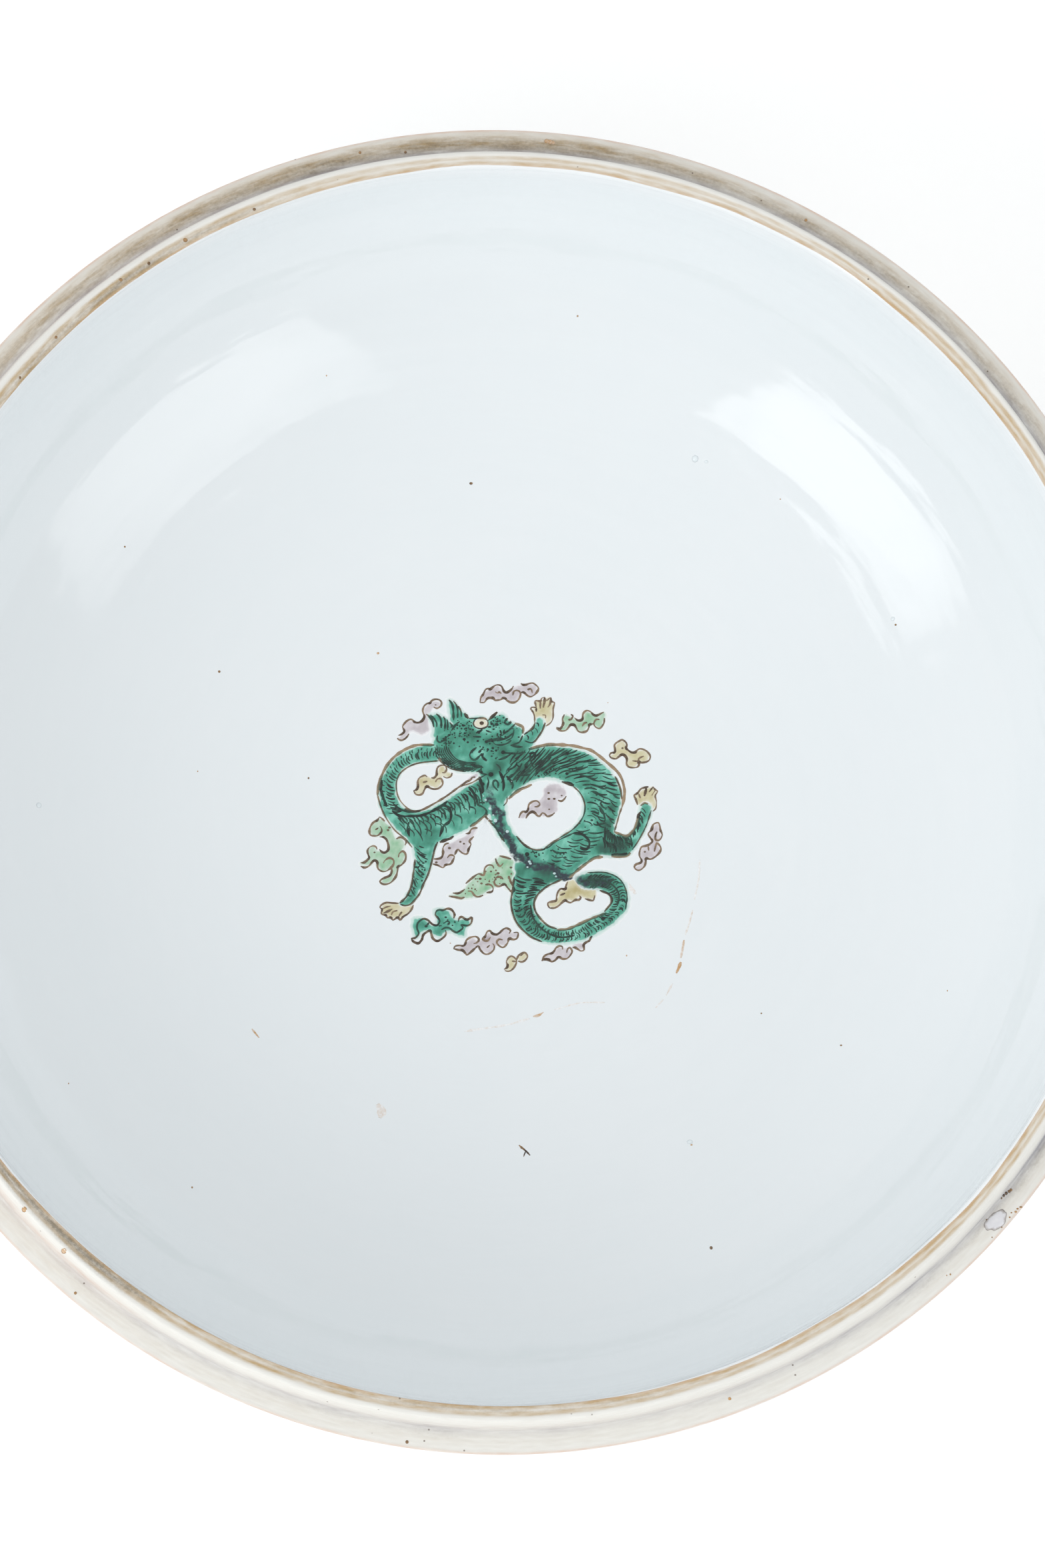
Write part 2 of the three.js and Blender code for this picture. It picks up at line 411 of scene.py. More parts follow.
def build_base(form, materials):
    """The lower half: glazed inside, outside and under the foot; bare on ledge, flange and foot land."""
    profile, along, turn = base_layout(form)
    row = along[:, None]
    radius = profile.at(row)[0]
    end = profile.end
    inside, edge = end["flange"], end["outside"]
    wander = 0.28 * np.sin(3 * turn + 1.0) + 0.16 * np.sin(11 * turn) + 0.10 * np.sin(29 * turn + 2.0)
    slide = wander * hump(row, inside, 1.6)
    push = np.where(row > inside, bowl_relief(form, radius, turn), 0.0)
    push = push + 0.10 * hump(row, inside + 0.9, 0.55)
    trimming = -0.02 * (1 + np.sin(2 * math.pi * row / 0.9 + 2 * turn)) * (row > edge) * (row < inside)
    thrown = -form.ring_relief * (1.6 + throwing_rings(row, turn, 0.5, 5))
    thrown = thrown * ease(row, end["land"] + 1, end["land"] + 6)
    push = push + trimming + thrown * (row < end["outside"])
    bare_rim = (along > end["outside"] + form.band - 0.3) & (along < inside)
    bare_foot = (along > end["recess"] - 0.1) & (along < end["land"] + 0.1)
    across = row - edge - form.band  # mm from the outer edge, measured over ledge and flange
    everywhere = np.ones_like(across * turn)
    stained = rim_fields(across, turn, inside - edge - form.band)
    attributes = {name: everywhere * field for name, field in stained.items()}
    thick = ease(row, inside + 1.5, inside + 9) * 0.7 + 0.3 * hump(row, end["recess"], 6)
    attributes["thick"] = everywhere * np.clip(thick, 0, 1)
    foot_dirt = 0.7 * hump(row, (end["recess"] + end["land"]) / 2, 2.6)
    attributes["grime"] = np.maximum(attributes["grime"], foot_dirt)
    bare = (bare_rim | bare_foot).astype(int)
    piece = wheel_piece(
        "base_body", profile, along, slide, push, BASE_AXIS, "base", materials, attributes, bare)
    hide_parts("box_base")


def rim_fields(across, turn, glaze_at):
    """Where the bare rim has changed colour, each field 0 to 1. The grey field is partly dirt and partly
    painted shade in the inner corner at the flange's foot. across runs from the outer edge at 0 over the
    ledge, up the flange and over its top to the glaze line. Marks are (degrees round, strength)."""
    corner, crest = 4.1, 10.2  # mm from the outer edge to the flange's foot and to its crest
    worn = 1 + 0.15 * np.sin(9 * turn + 1) * np.sin(23 * turn) + 0.12 * np.sin(41 * turn + 2)
    dirt_and_shade_round, soil_round, burnt_round, soot, rust_round = (round_the_wheel(turn, marks) for marks in (
        [(0, 0.9), (20, 1), (45, 0.75), (75, 0.7), (100, 1), (120, 0.8), (150, 0.45), (215, 0.25),
         (250, 0.4), (285, 0.3), (305, 0.55), (316, 0.5), (322, 0.9), (340, 0.9)],
        [(20, 0.35), (60, 0.5), (90, 0.95), (120, 0.8), (160, 0.5), (240, 0.12), (300, 0.04), (318, 0.12),
         (335, 0.3)],
        [(10, 0.75), (40, 0.8), (70, 0.6), (100, 0.65), (130, 0.95), (180, 0.8), (225, 0.9), (255, 0.85),
         (300, 0.8)],
        [(0, 0.05), (100, 0.1), (125, 0.6), (150, 0.35), (205, 0.35), (219, 1), (229, 1), (238, 0.2),
         (265, 0.3), (330, 0.05)],
        [(0, 0.8), (90, 0.9), (140, 1), (200, 0.6), (270, 0.8), (330, 0.9)],
    ))
    dirt_and_shade_round = worn * dirt_and_shade_round
    # Painted shade: the grey band at the foot of the flange darkens that inner corner where shade falls,
    # mixed with dirt whose strength varies round the ring.
    face = hump(across, corner + 0.3, 1.15)
    grime = 0.40 * dirt_and_shade_round * hump(across, corner - 0.8, 1.3) + 0.42 * soil_round * hump(across, 2.2, 1.4)
    sooty = 1.1 * hump(across, glaze_at - 0.9, 0.75) + 0.25 * hump(across, glaze_at - 2.2, 0.8)
    grime = grime + soot * sooty
    lavender = dirt_and_shade_round * (face + 0.35 * hump(across, corner + 1.6, 1.3))
    top = ease(across, crest - 0.1, crest + 0.5) * ease(across, glaze_at + 0.3, glaze_at - 0.1)
    groove = 1 - 0.55 * hump(across, glaze_at - 1.05, 0.22)
    tan = 0.95 * soil_round * hump(across, 2.3, 1.5) + 0.95 * burnt_round * top * groove
    tan = tan + 0.25 * burnt_round * hump(across, glaze_at - 0.3, 0.3)
    rust = 0.6 * rust_round * ease(across, 0.6, 0.0) * ease(across, -2.2, -0.6)
    rust = rust + 0.35 * burnt_round * hump(across, glaze_at - 0.1, 0.3)
    rust = rust + 0.3 * soot * hump(across, corner + 1.5, 1.6)
    return {"grime": grime, "lavender": lavender, "tan": tan, "rust": rust}


def build_cover(form, materials):
    """The upper half: glazed inside and outside, bare on its rim."""
    profile = cover_profile(form)
    along = profile.rows({"inside": 1.7, "rim": 0.3, "outside": 1.5})
    turn = np.arange(ROUND) * 2 * math.pi / ROUND
    row = along[:, None]
    end = profile.end
    wander = 0.25 * np.sin(4 * turn + 2) + 0.12 * np.sin(17 * turn)
    slide = wander * hump(row, end["inside"], 1.4)
    inner = row < end["inside"]
    rings = throwing_rings(row, turn, form.ring_relief, 23)
    push = np.where(inner, rings, -form.ring_relief * 2.2 + 0.6 * rings)
    push = push * ease(np.abs(row - (end["inside"] + end["rim"]) / 2), 6, 14)
    bare = (along > end["inside"] + form.seat_depth - 1.5) & (along < end["rim"] - form.band + 0.4)
    bare = bare.astype(int)
    middle = (end["inside"] + end["rim"]) / 2
    everywhere = np.ones_like(row * turn)
    attributes = {
        "grime": everywhere * 0.5 * hump(row, middle, 3) * (0.7 + 0.3 * np.sin(turn)),
        "lavender": everywhere * 0.3 * hump(row, middle, 2),
        "tan": everywhere * 0.7 * (hump(row, end["inside"] + form.seat_depth - 1.5, 0.8)),
        "rust": everywhere * 0.8 * hump(row, end["rim"] - form.band + 0.4, 0.35),
        "thick": everywhere * ease(np.abs(row - middle), 3, 16) * 0.6,
    }
    piece = wheel_piece(
        "cover_body", profile, along, slide, push, COVER_AXIS, "cover", materials, attributes, bare)
    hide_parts("box_cover")


GRID = 0.18  # mm between the nodes of the painted field
FIELD = (-27.5, 37.0, -32.0, 29.5)  # left, right, bottom and top of the painted field, mm


def drawn(numbers):
    """Rows of x, y in mm from a list of x, y pairs in tenths of a millimetre."""
    return np.array(numbers, float).reshape(-1, 2) / 10


def smooth(knots, closed=False, step=0.22):
    """Points a step apart on the smooth curve through the knots, a Catmull-Rom spline, in mm."""
    before = knots[-1:] if closed else 2 * knots[:1] - knots[1:2]
    after = knots[:2] if closed else 2 * knots[-1:] - knots[-2:-1]
    line = np.vstack([before, knots, after])
    a, b, c, d = line[:-3], line[1:-2], line[2:-1], line[3:]
    t = np.linspace(0, 1, 10, endpoint=False)[:, None, None]
    spans = 0.5 * (2 * b + (c - a) * t + (2 * a - 5 * b + 4 * c - d) * t**2 + (3 * b - a - 3 * c + d) * t**3)
    dense = np.vstack([spans.transpose(1, 0, 2).reshape(-1, 2), c[-1:]])
    run = np.concatenate([[0], np.cumsum(np.hypot(*np.diff(dense, axis=0).T))])
    even = np.linspace(0, run[-1], max(3, round(run[-1] / step) + 1))
    return np.column_stack([np.interp(even, run, dense[:, 0]), np.interp(even, run, dense[:, 1])])


def reach_to(x, y, line):
    """Distance from every point to the nearest place on a polyline, mm."""
    start, run = line[:-1], np.diff(line, axis=0)
    away_x, away_y = x[..., None] - start[:, 0], y[..., None] - start[:, 1]
    share = np.clip((away_x * run[:, 0] + away_y * run[:, 1]) / (run**2).sum(1), 0, 1)
    return np.hypot(away_x - share * run[:, 0], away_y - share * run[:, 1]).min(-1)


def outside_of(x, y, knots):
    """Distance from every point to a smooth closed outline, mm, negative inside it. A point is inside
    where a ray from it crosses the outline an odd number of times."""
    line = smooth(knots, closed=True, step=0.4)
    line = np.vstack([line, line[:1]])[: len(line) + (line[0] != line[-1]).any()]
    low, high = line[:-1], line[1:]
    spans = (low[:, 1] > y[..., None]) != (high[:, 1] > y[..., None])
    rise = np.where(high[:, 1] == low[:, 1], 1, high[:, 1] - low[:, 1])
    crossing = low[:, 0] + (y[..., None] - low[:, 1]) * (high[:, 0] - low[:, 0]) / rise
    inside = (spans & (x[..., None] < crossing)).sum(-1) % 2 == 1
    return np.where(inside, -1, 1) * reach_to(x, y, line)


def uneven(x, y, size, seed):
    """Smooth unevenness, about -1 to 1, of waves about that many mm long in all directions."""
    chance = np.random.default_rng(seed)
    total = 0
    for angle, start, pitch in zip(*chance.uniform([[0], [0], [0.7]], [[6.28], [6.28], [1.6]], (3, 8))):
        along = x * math.cos(angle) + y * math.sin(angle)
        total = total + np.cos(2 * math.pi * along / (size * pitch) + start)
    return total / 3


def bowl_height(form, x, y):
    """Height of the inner glaze above the table, mm."""
    profile = base_layout(form)[0]
    floor = profile.points[profile.along > profile.end["flange"] + 1][::-1]
    radius, turn = np.hypot(x, y), np.arctan2(y, x)
    return np.interp(radius, floor[:, 0], floor[:, 1]) + bowl_relief(form, radius, turn)


# Enamel washes: closed outlines as x, y pairs about the bowl's axis, in tenths of a millimetre. The dragon
# is in three bands.
DRAGON_NECK_AND_FORELEG = [
    -100, 152, -140, 150, -180, 130, -206, 95, -215, 60, -210, 25, -190, -5, -168, -29, -152, -48, -147, -75,
    -149, -90, -155, -125, -167, -150, -180, -162, -169, -167, -158, -164, -148, -154, -132, -125, -117, -91,
    -107, -54, -97, -41, -75, -32, -40, -15, -10, 5, 6, 15, 8, 50, 0, 92, -15, 83, -50, 63, -90, 38, -130,
    22, -150, 22, -170, 32, -180, 55, -180, 80, -167, 104, -140, 118, -95, 123]
DRAGON_BODY = [
    -20, 120, 30, 146, 80, 142, 130, 146, 180, 140, 220, 120, 253, 86, 267, 50, 265, 20, 251, -27, 264, -35,
    276, -38, 286, -31, 295, -18, 301, 0, 307, 22, 318, 26, 328, 15, 316, -20, 299, -50, 286, -70, 270, -79,
    245, -79, 220, -77, 199, -86, 170, -108, 156, -120, 126, -116, 90, -102, 60, -82, 30, -46, 6, -3, 2, 50]
DRAGON_BODY_HOLE = [
    38, 40, 65, 62, 95, 78, 120, 82, 150, 76, 178, 60, 192, 35, 190, 10, 175, -15, 150, -33, 125, -50, 100,
    -62, 75, -54, 55, -32, 40, -5, 37, 20]
DRAGON_TAIL = [
    53, -85, 49, -110, 45, -140, 41, -170, 50, -205, 75, -233, 110, -248, 150, -250, 195, -240, 240, -215,
    270, -186, 274, -154, 262, -125, 234, -110, 195, -110, 170, -122, 188, -141, 218, -145, 237, -155, 241,
    -170, 226, -189, 200, -201, 170, -215, 140, -223, 110, -213, 88, -185, 88, -160, 110, -138, 145, -122,
    155, -113, 130, -100, 90, -90]
DRAGON_HEAD = [
    -33, 207, -10, 209, 6, 203, 14, 207, 28, 214, 40, 212, 48, 200, 60, 192, 73, 186, 75, 173, 72, 159, 82,
    150, 90, 140, 80, 120, 40, 95, 15, 88, 0, 92, -20, 96, -40, 98, -70, 105, -90, 123, -103, 145, -101, 170,
    -85, 183, -65, 196, -50, 203]
RIGHT_MANE = [-66, 196, -70, 220, -71, 243, -61, 241, -52, 231, -44, 220, -31, 206, -40, 195]
LEFT_MANE = [-101, 168, -103, 192, -114, 215, -104, 216, -94, 217, -83, 211, -73, 206, -68, 196, -60, 183]
RIGHT_ARM = [
    55, 146, 68, 162, 78, 171, 87, 177, 96, 184, 101, 196, 105, 204, 114, 203, 120, 195, 115, 179, 107, 167,
    99, 157, 92, 146, 75, 136]
TEAL_CLOUD = [
    -156, -200, -150, -193, -135, -193, -120, -205, -110, -206, -106, -195, -113, -186, -108, -177, -95,
    -176, -83, -180, -72, -196, -50, -196, -40, -203, -50, -215, -52, -228, -64, -230, -80, -220, -95, -224,
    -100, -232, -113, -228, -120, -218, -135, -220, -147, -230, -154, -224]
FLAME_TUFT = [
    -82, -150, -55, -140, -35, -115, -10, -100, 10, -80, 30, -73, 50, -83, 53, -110, 46, -144, 25, -132, 5,
    -137, -15, -150, -40, -156, -64, -156]
RIGHT_CLOUD = [
    145, 181, 156, 187, 156, 202, 162, 210, 172, 206, 184, 199, 194, 199, 203, 215, 216, 210, 226, 207, 240,
    213, 241, 202, 237, 188, 228, 181, 217, 189, 208, 184, 197, 174, 185, 177, 175, 188, 161, 178, 152, 177]
LEFT_CLOUD = [
    -212, 9, -227, 1, -235, -14, -229, -26, -214, -27, -202, -34, -199, -50, -207, -60, -220, -54, -232, -46,
    -241, -56, -238, -70, -254, -79, -253, -85, -237, -84, -225, -76, -222, -89, -210, -98, -195, -91, -198,
    -106, -216, -115, -212, -122, -194, -118, -183, -96, -173, -84, -166, -68, -170, -57, -166, -46, -172,
    -32, -184, -31, -192, -10, -203, 2]
FOREFOOT = [
    -180, -162, -194, -161, -207, -160, -218, -166, -216, -174, -216, -182, -208, -185, -203, -190, -195,
    -193, -185, -190, -179, -193, -172, -188, -162, -181, -154, -170, -159, -165, -169, -168]
RAISED_HAND = [
    102, 199, 100, 209, 95, 223, 103, 228, 104, 238, 114, 239, 122, 245, 134, 244, 138, 232, 138, 222, 136,
    204, 131, 194, 121, 189, 120, 200, 113, 204]
HIND_FOOT = [
    300, 24, 296, 42, 306, 53, 322, 59, 333, 59, 340, 50, 336, 38, 337, 24, 330, 10, 328, 22, 319, 29, 308,
    26]
EYE = [-22.7, 196, -19, 203, -8, 207, 3, 203, 6.7, 196, 3, 188.5, -8, 185, -19, 188.5]
WASHES = {
    "green": (
        DRAGON_NECK_AND_FORELEG, DRAGON_BODY, DRAGON_TAIL, DRAGON_HEAD, RIGHT_MANE, LEFT_MANE, RIGHT_ARM,
        TEAL_CLOUD),
    "pale_green": (FLAME_TUFT, RIGHT_CLOUD, LEFT_CLOUD),
    "yellow": (
        FOREFOOT, RAISED_HAND, HIND_FOOT, EYE, [247, 125, 258, 132, 259, 145, 274, 155, 283, 144, 288, 133,
        301, 132, 317, 135, 328, 122, 318, 109, 305, 109, 296, 99, 283, 104, 281, 119, 270, 125, 260, 118],
        [-145, 62, -138, 70, -136, 86, -123, 93, -109, 88, -99, 96, -95, 110, -83, 112, -78, 101, -69, 96,
        -73, 88, -87, 89, -89, 75, -100, 66, -118, 71, -127, 58, -139, 54], [24, -300, 29, -290, 30, -278,
        39, -273, 47, -282, 44, -294, 34, -302], [51, -275, 62, -266, 70, -273, 64, -282, 53, -283], [116,
        -178, 116, -168, 131, -163, 136, -146, 150, -140, 152, -126, 172, -124, 183, -140, 210, -142, 212,
        -152, 206, -164, 189, -162, 178, -158, 168, -166, 150, -165, 135, -175, 126, -179]),
    "aubergine": (
        [-173, 171, -164, 180, -162, 196, -149, 205, -133, 200, -122, 208, -121, 226, -112, 238, -98, 244,
        -87, 240, -91, 230, -104, 227, -109, 213, -112, 202, -110, 184, -126, 175, -143, 182, -156, 175,
        -165, 166], [-9, 240, -1, 258, 12, 265, 29, 272, 39, 264, 50, 259, 61, 269, 80, 273, 98, 274, 108,
        266, 102, 251, 89, 248, 76, 255, 69, 242, 54, 237, 41, 244, 25, 242, 10, 246, 0, 238], [-52, 72, -42,
        80, -30, 90, -18, 100, -9, 96, -20, 86, -38, 75], [63, 3, 66, 12, 77, 15, 82, 27, 92, 36, 108, 40,
        115, 63, 130, 70, 153, 65, 158, 45, 140, 35, 140, 17, 120, 5, 102, 6, 90, 14, 76, 3], [-112, -84,
        -109, -75, -96, -72, -91, -56, -80, -45, -62, -38, -42, -26, -30, -15, -21, -15, -29, -31, -36, -46,
        -41, -60, -52, -66, -64, -61, -70, -72, -80, -86, -94, -92, -104, -88], [-75, -254, -60, -250, -51,
        -240, -38, -233, -27, -239, -18, -237, -8, -224, 9, -229, 29, -217, 37, -224, 52, -227, 51, -237, 35,
        -239, 26, -253, 14, -250, 4, -259, -8, -267, -22, -260, -32, -254, -48, -268, -60, -259], [97, -284,
        105, -272, 120, -268, 131, -256, 143, -259, 154, -259, 157, -271, 146, -281, 132, -278, 119, -286,
        106, -281], [160, -255, 170, -263, 183, -263, 183, -252, 172, -249], [332, -16, 340, -13, 345, -30,
        345, -45, 336, -52, 342, -64, 338, -76, 322, -86, 312, -89, 306, -104, 294, -107, 289, -101, 302,
        -92, 300, -72, 306, -61, 322, -55, 324, -45, 319, -34, 328, -20]),
}
THICKNESS = {"green": 0.09, "pale_green": 0.07, "yellow": 0.055, "aubergine": 0.045}  # mm of fired enamel
BLEED = {"green": 0.7, "pale_green": 0.45, "yellow": 0.2, "aubergine": 0.2}  # mm that it ran past its edge
SKIRT = 0.33  # mm over which a film dives under the glaze
SUNK = 0.12  # mm that a film's underside lies below the glaze
FAR = 9.0  # mm, stands for far from every outline
NEAR = 1.4  # mm round an outline in which distances to it are worked out
# Where the enamels lie thick and dark (strength over 0) or thin and light: x, y, radius, strength
POOLS = np.array([
    [25.9, -5.7, 2.3, 2.3], [23.9, -1.6, 1.5, 1.5], [24.8, 1.9, 1, 1.5], [22.6, -6.4, 1.5, 1.3], [3.5, 13.6,
    0.9, 1.6], [6.2, 13.4, 1.6, 0.9], [7.5, 9.4, 2, 1.3], [2.4, 10.6, 1.2, 1.5], [4.8, 15.6, 2.6, 0.4],
    [-2.8, 17.2, 1.5, 0.9], [1.2, 16, 1.2, 0.8], [-2.5, 11.3, 1.6, 0.4], [-11.6, -2.8, 2.2, 0.6], [13, 10.3,
    2.6, 0.8], [19, 8.5, 2.2, 0.3], [10, -9.6, 2.6, 0.9], [6, -10.2, 1.6, 0.6], [12, -11.8, 2, 0.7], [-16.2,
    -15.2, 1, 0.5], [24.5, -7.6, 1.6, 0.6], [26, -14, 1.4, 0.2], [9, -22.8, 1.8, 0.2], [-16, 13.8, 2.5,
    -0.5], [-18.6, 1.2, 2.2, -0.6], [-7.5, 2.6, 2, -0.2], [-8.2, -2.2, 1.6, -0.6], [0.6, 7.4, 1.2, -0.8],
    [0.5, 6, 0.9, -0.6], [-4, 14.5, 1.8, -0.3], [-1.7, 13.2, 1, -0.8], [-1, 7.2, 0.9, 1.8], [1, 9.2, 0.7,
    1.8], [-1.6, 10.6, 1.3, 0.9], [4.6, 6.4, 0.9, 0.8], [0.3, 15.9, 0.9, 1.1], [6, -19, 2.2, 0.5], [24.8,
    -15.5, 1.6, 0.5], [11.5, -10.8, 2, 0.9], [16.4, 13, 0.8, 1.2], [24, 10, 1.8, -0.5], [15, -5.5, 2, -0.4],
    [7, -5.2, 1.3, -0.8], [10.5, -7.8, 1.4, -0.9], [20, -1, 1.8, -0.4], [28.8, -3.6, 1.2, -0.8], [31.2, -0.5,
    1.2, -0.4], [-13.2, -6.8, 1.5, -0.4], [16.5, -22.8, 2.2, -0.9], [-6.5, 15.5, 3, 0.5], [7, -20, 2.6,
    0.35], [11.5, 4, 2.4, 0.3], [16, -15.3, 2.2, 0.4], [1.2, -2.2, 1.6, -0.5], [3.3, 2.8, 1.1, -0.6], [11,
    18.8, 1.5, -0.3], [22.5, 7.2, 1.6, -0.1], [-8.6, 19.6, 1.2, -0.2], [-0.8, 19.6, 1.5, -1.6], [-4.6, 12.6,
    1.6, -0.2], [1, 17.6, 1.2, -0.5], [8, 10.4, 2.2, 0.5], [23.6, -12.6, 1.5, 1.4], [19.8, -12.8, 2.2, 1.8]])
KILN_FLAW = [
    9, 94, 6, 70, 4, 46, 12, 28, 24, 9, 24, -10, 34, -32, 46, -50, 53, -70, 70, -84, 96, -93, 124, -102, 146,
    -114, 160, -123]
TAIL_POOL = [174, -126, 192, -129, 216, -134, 232, -132]


def pooled(x, y):
    """How much thicker than the even wash the enamel lies, from the pools."""
    total = 0.25 * uneven(x, y, 3.4, 41) + 0.15 * uneven(x, y, 1.3, 42)
    for pool_x, pool_y, radius, strength in POOLS:
        total = total + strength * np.exp(-((x - pool_x) ** 2 + (y - pool_y) ** 2) / radius**2)
    return total


@functools.cache
def painted_field():
    """The medallion's field as a grid: x and y, the glaze's height, for each enamel the distance to its
    nearest edge, negative inside, and its top, and the surface that the brush lines lie on. Edges waver by
    about a tenth of a millimetre, as a loaded brush leaves them."""
    form = in_mm(bpy.context.scene.porcelain_form)
    x, y = np.meshgrid(np.arange(FIELD[0], FIELD[1], GRID), np.arange(FIELD[2], FIELD[3], GRID))
    edges = {}
    for enamel, outlines in WASHES.items():
        edge = np.full(x.shape, FAR)
        for numbers in outlines:
            edge = nearer(x, y, edge, drawn(numbers))
        if enamel == "green":
            gap = nearer(x, y, np.full(x.shape, FAR), drawn(DRAGON_BODY_HOLE))
            gap = nearer(x, y, gap, drawn(EYE))
            edge = np.maximum(edge, -gap)
        edges[enamel] = edge + 0.10 * uneven(x, y, 1.7, 51) + 0.05 * uneven(x, y, 0.7, 52)
    for enamel in ("pale_green", "yellow", "aubergine"):
        edges[enamel] = np.maximum(edges[enamel], 0.05 - edges["green"])
    glaze = bowl_height(form, x, y)
    swell = 1 + 0.15 * uneven(x, y, 2.2, 61)
    tops = {key: glaze + film(edge, THICKNESS[key], BLEED[key]) * swell for key, edge in edges.items()}
    surface = np.maximum.reduce([glaze, *tops.values()])
    return SimpleNamespace(x=x, y=y, glaze=glaze, edges=edges, tops=tops, surface=surface)


def nearer(x, y, edge, knots):
    """The smaller of a field of distances and the distance to one more outline, worked out near it only."""
    low, high = knots.min(0) - NEAR, knots.max(0) + NEAR
    rows = slice(*np.searchsorted(y[:, 0], [low[1], high[1]]))
    columns = slice(*np.searchsorted(x[0], [low[0], high[0]]))
    edge = edge.copy()
    part = rows, columns
    edge[part] = np.minimum(edge[part], outside_of(x[part], y[part], knots))
    return edge


def film(edge, thickness, bleed):
    """Height of an enamel film over the glaze, mm: full half a millimetre in, a thin run past the wash's
    edge, and under the glaze beyond that."""
    share = np.clip(-edge / 0.5, 0, 1)
    run = 0.3 * ease(edge, bleed, 0.6 * bleed) - 0.5 * ease(edge, bleed, bleed + SKIRT)
    return thickness * (0.7 * share * (2 - share) + run)


def on_field(values, x, y):
    """A grid's values at any points, between its nodes by halves and quarters as the distance asks."""
    column = np.clip((x - FIELD[0]) / GRID, 0, values.shape[1] - 1.001)
    row = np.clip((y - FIELD[2]) / GRID, 0, values.shape[0] - 1.001)
    i, j = row.astype(int), column.astype(int)
    v, u = row - i, column - j
    low = values[i, j] * (1 - u) + values[i, j + 1] * u
    high = values[i + 1, j] * (1 - u) + values[i + 1, j + 1] * u
    return low * (1 - v) + high * v


def build_film(enamel, name, material):
    """One enamel as a closed thin film: the cells of the painted field in the wash and its skirt, with a top
    at glaze height plus film and a bottom just under the glaze, joined by a wall round the edge."""
    field = painted_field()
    x, y, glaze, edge = field.x, field.y, field.glaze, field.edges[enamel]
    wet = edge < SKIRT + BLEED[enamel]
    cells = wet[:-1, :-1] | wet[1:, :-1] | wet[:-1, 1:] | wet[1:, 1:]
    number = np.arange(x.size).reshape(x.shape)
    corner = [number[:-1, :-1], number[:-1, 1:], number[1:, 1:], number[1:, :-1]]
    quads = np.stack([part[cells] for part in corner], -1)
    walls = []
    framed = np.pad(cells, 1)
    sides = (((0, 1), (-1, 0)), ((1, 2), (0, 1)), ((2, 3), (1, 0)), ((3, 0), (0, -1)))
    for (first, second), (down, across) in sides:
        beside = framed[1 + down : 1 + down + cells.shape[0], 1 + across : 1 + across + cells.shape[1]]
        open_side = cells & ~beside
        one, two = corner[first][open_side], corner[second][open_side]
        walls.append(np.stack([two, one, one + x.size, two + x.size], -1))
    faces = np.vstack([quads, quads[:, ::-1] + x.size, *walls])
    heights = np.concatenate([field.tops[enamel].ravel(), glaze.ravel() - SUNK])
    points = np.stack([np.tile(x.ravel(), 2), np.tile(y.ravel(), 2), heights], -1)
    used, faces = np.unique(faces, return_inverse=True)
    faces = faces.reshape(-1, 4)
    points = points[used] + [BASE_AXIS, 0, 0]
    place = used % x.size
    at_x, at_y = x.ravel()[place], y.ravel()[place]
    ragged = 0.55 * uneven(at_x, at_y, 2.1, 62) + 0.3 * uneven(at_x, at_y, 0.8, 63)
    flaw = np.maximum(
        ease(reach_to(at_x, at_y, smooth(drawn(KILN_FLAW))) + 0.6 * ragged, 1.2, 0.35),
        0.8 * ease(reach_to(at_x, at_y, smooth(drawn(TAIL_POOL))) + 0.6 * ragged, 1.3, 0.2),
    )
    flaw = flaw * ease(at_y, 9.5, 2) if enamel == "green" else 0 * flaw
    attributes = {"inward": -edge.ravel()[place], "pool": pooled(at_x, at_y), "flaw": flaw}
    return new_piece(name, points, [faces], "base", [material], attributes)


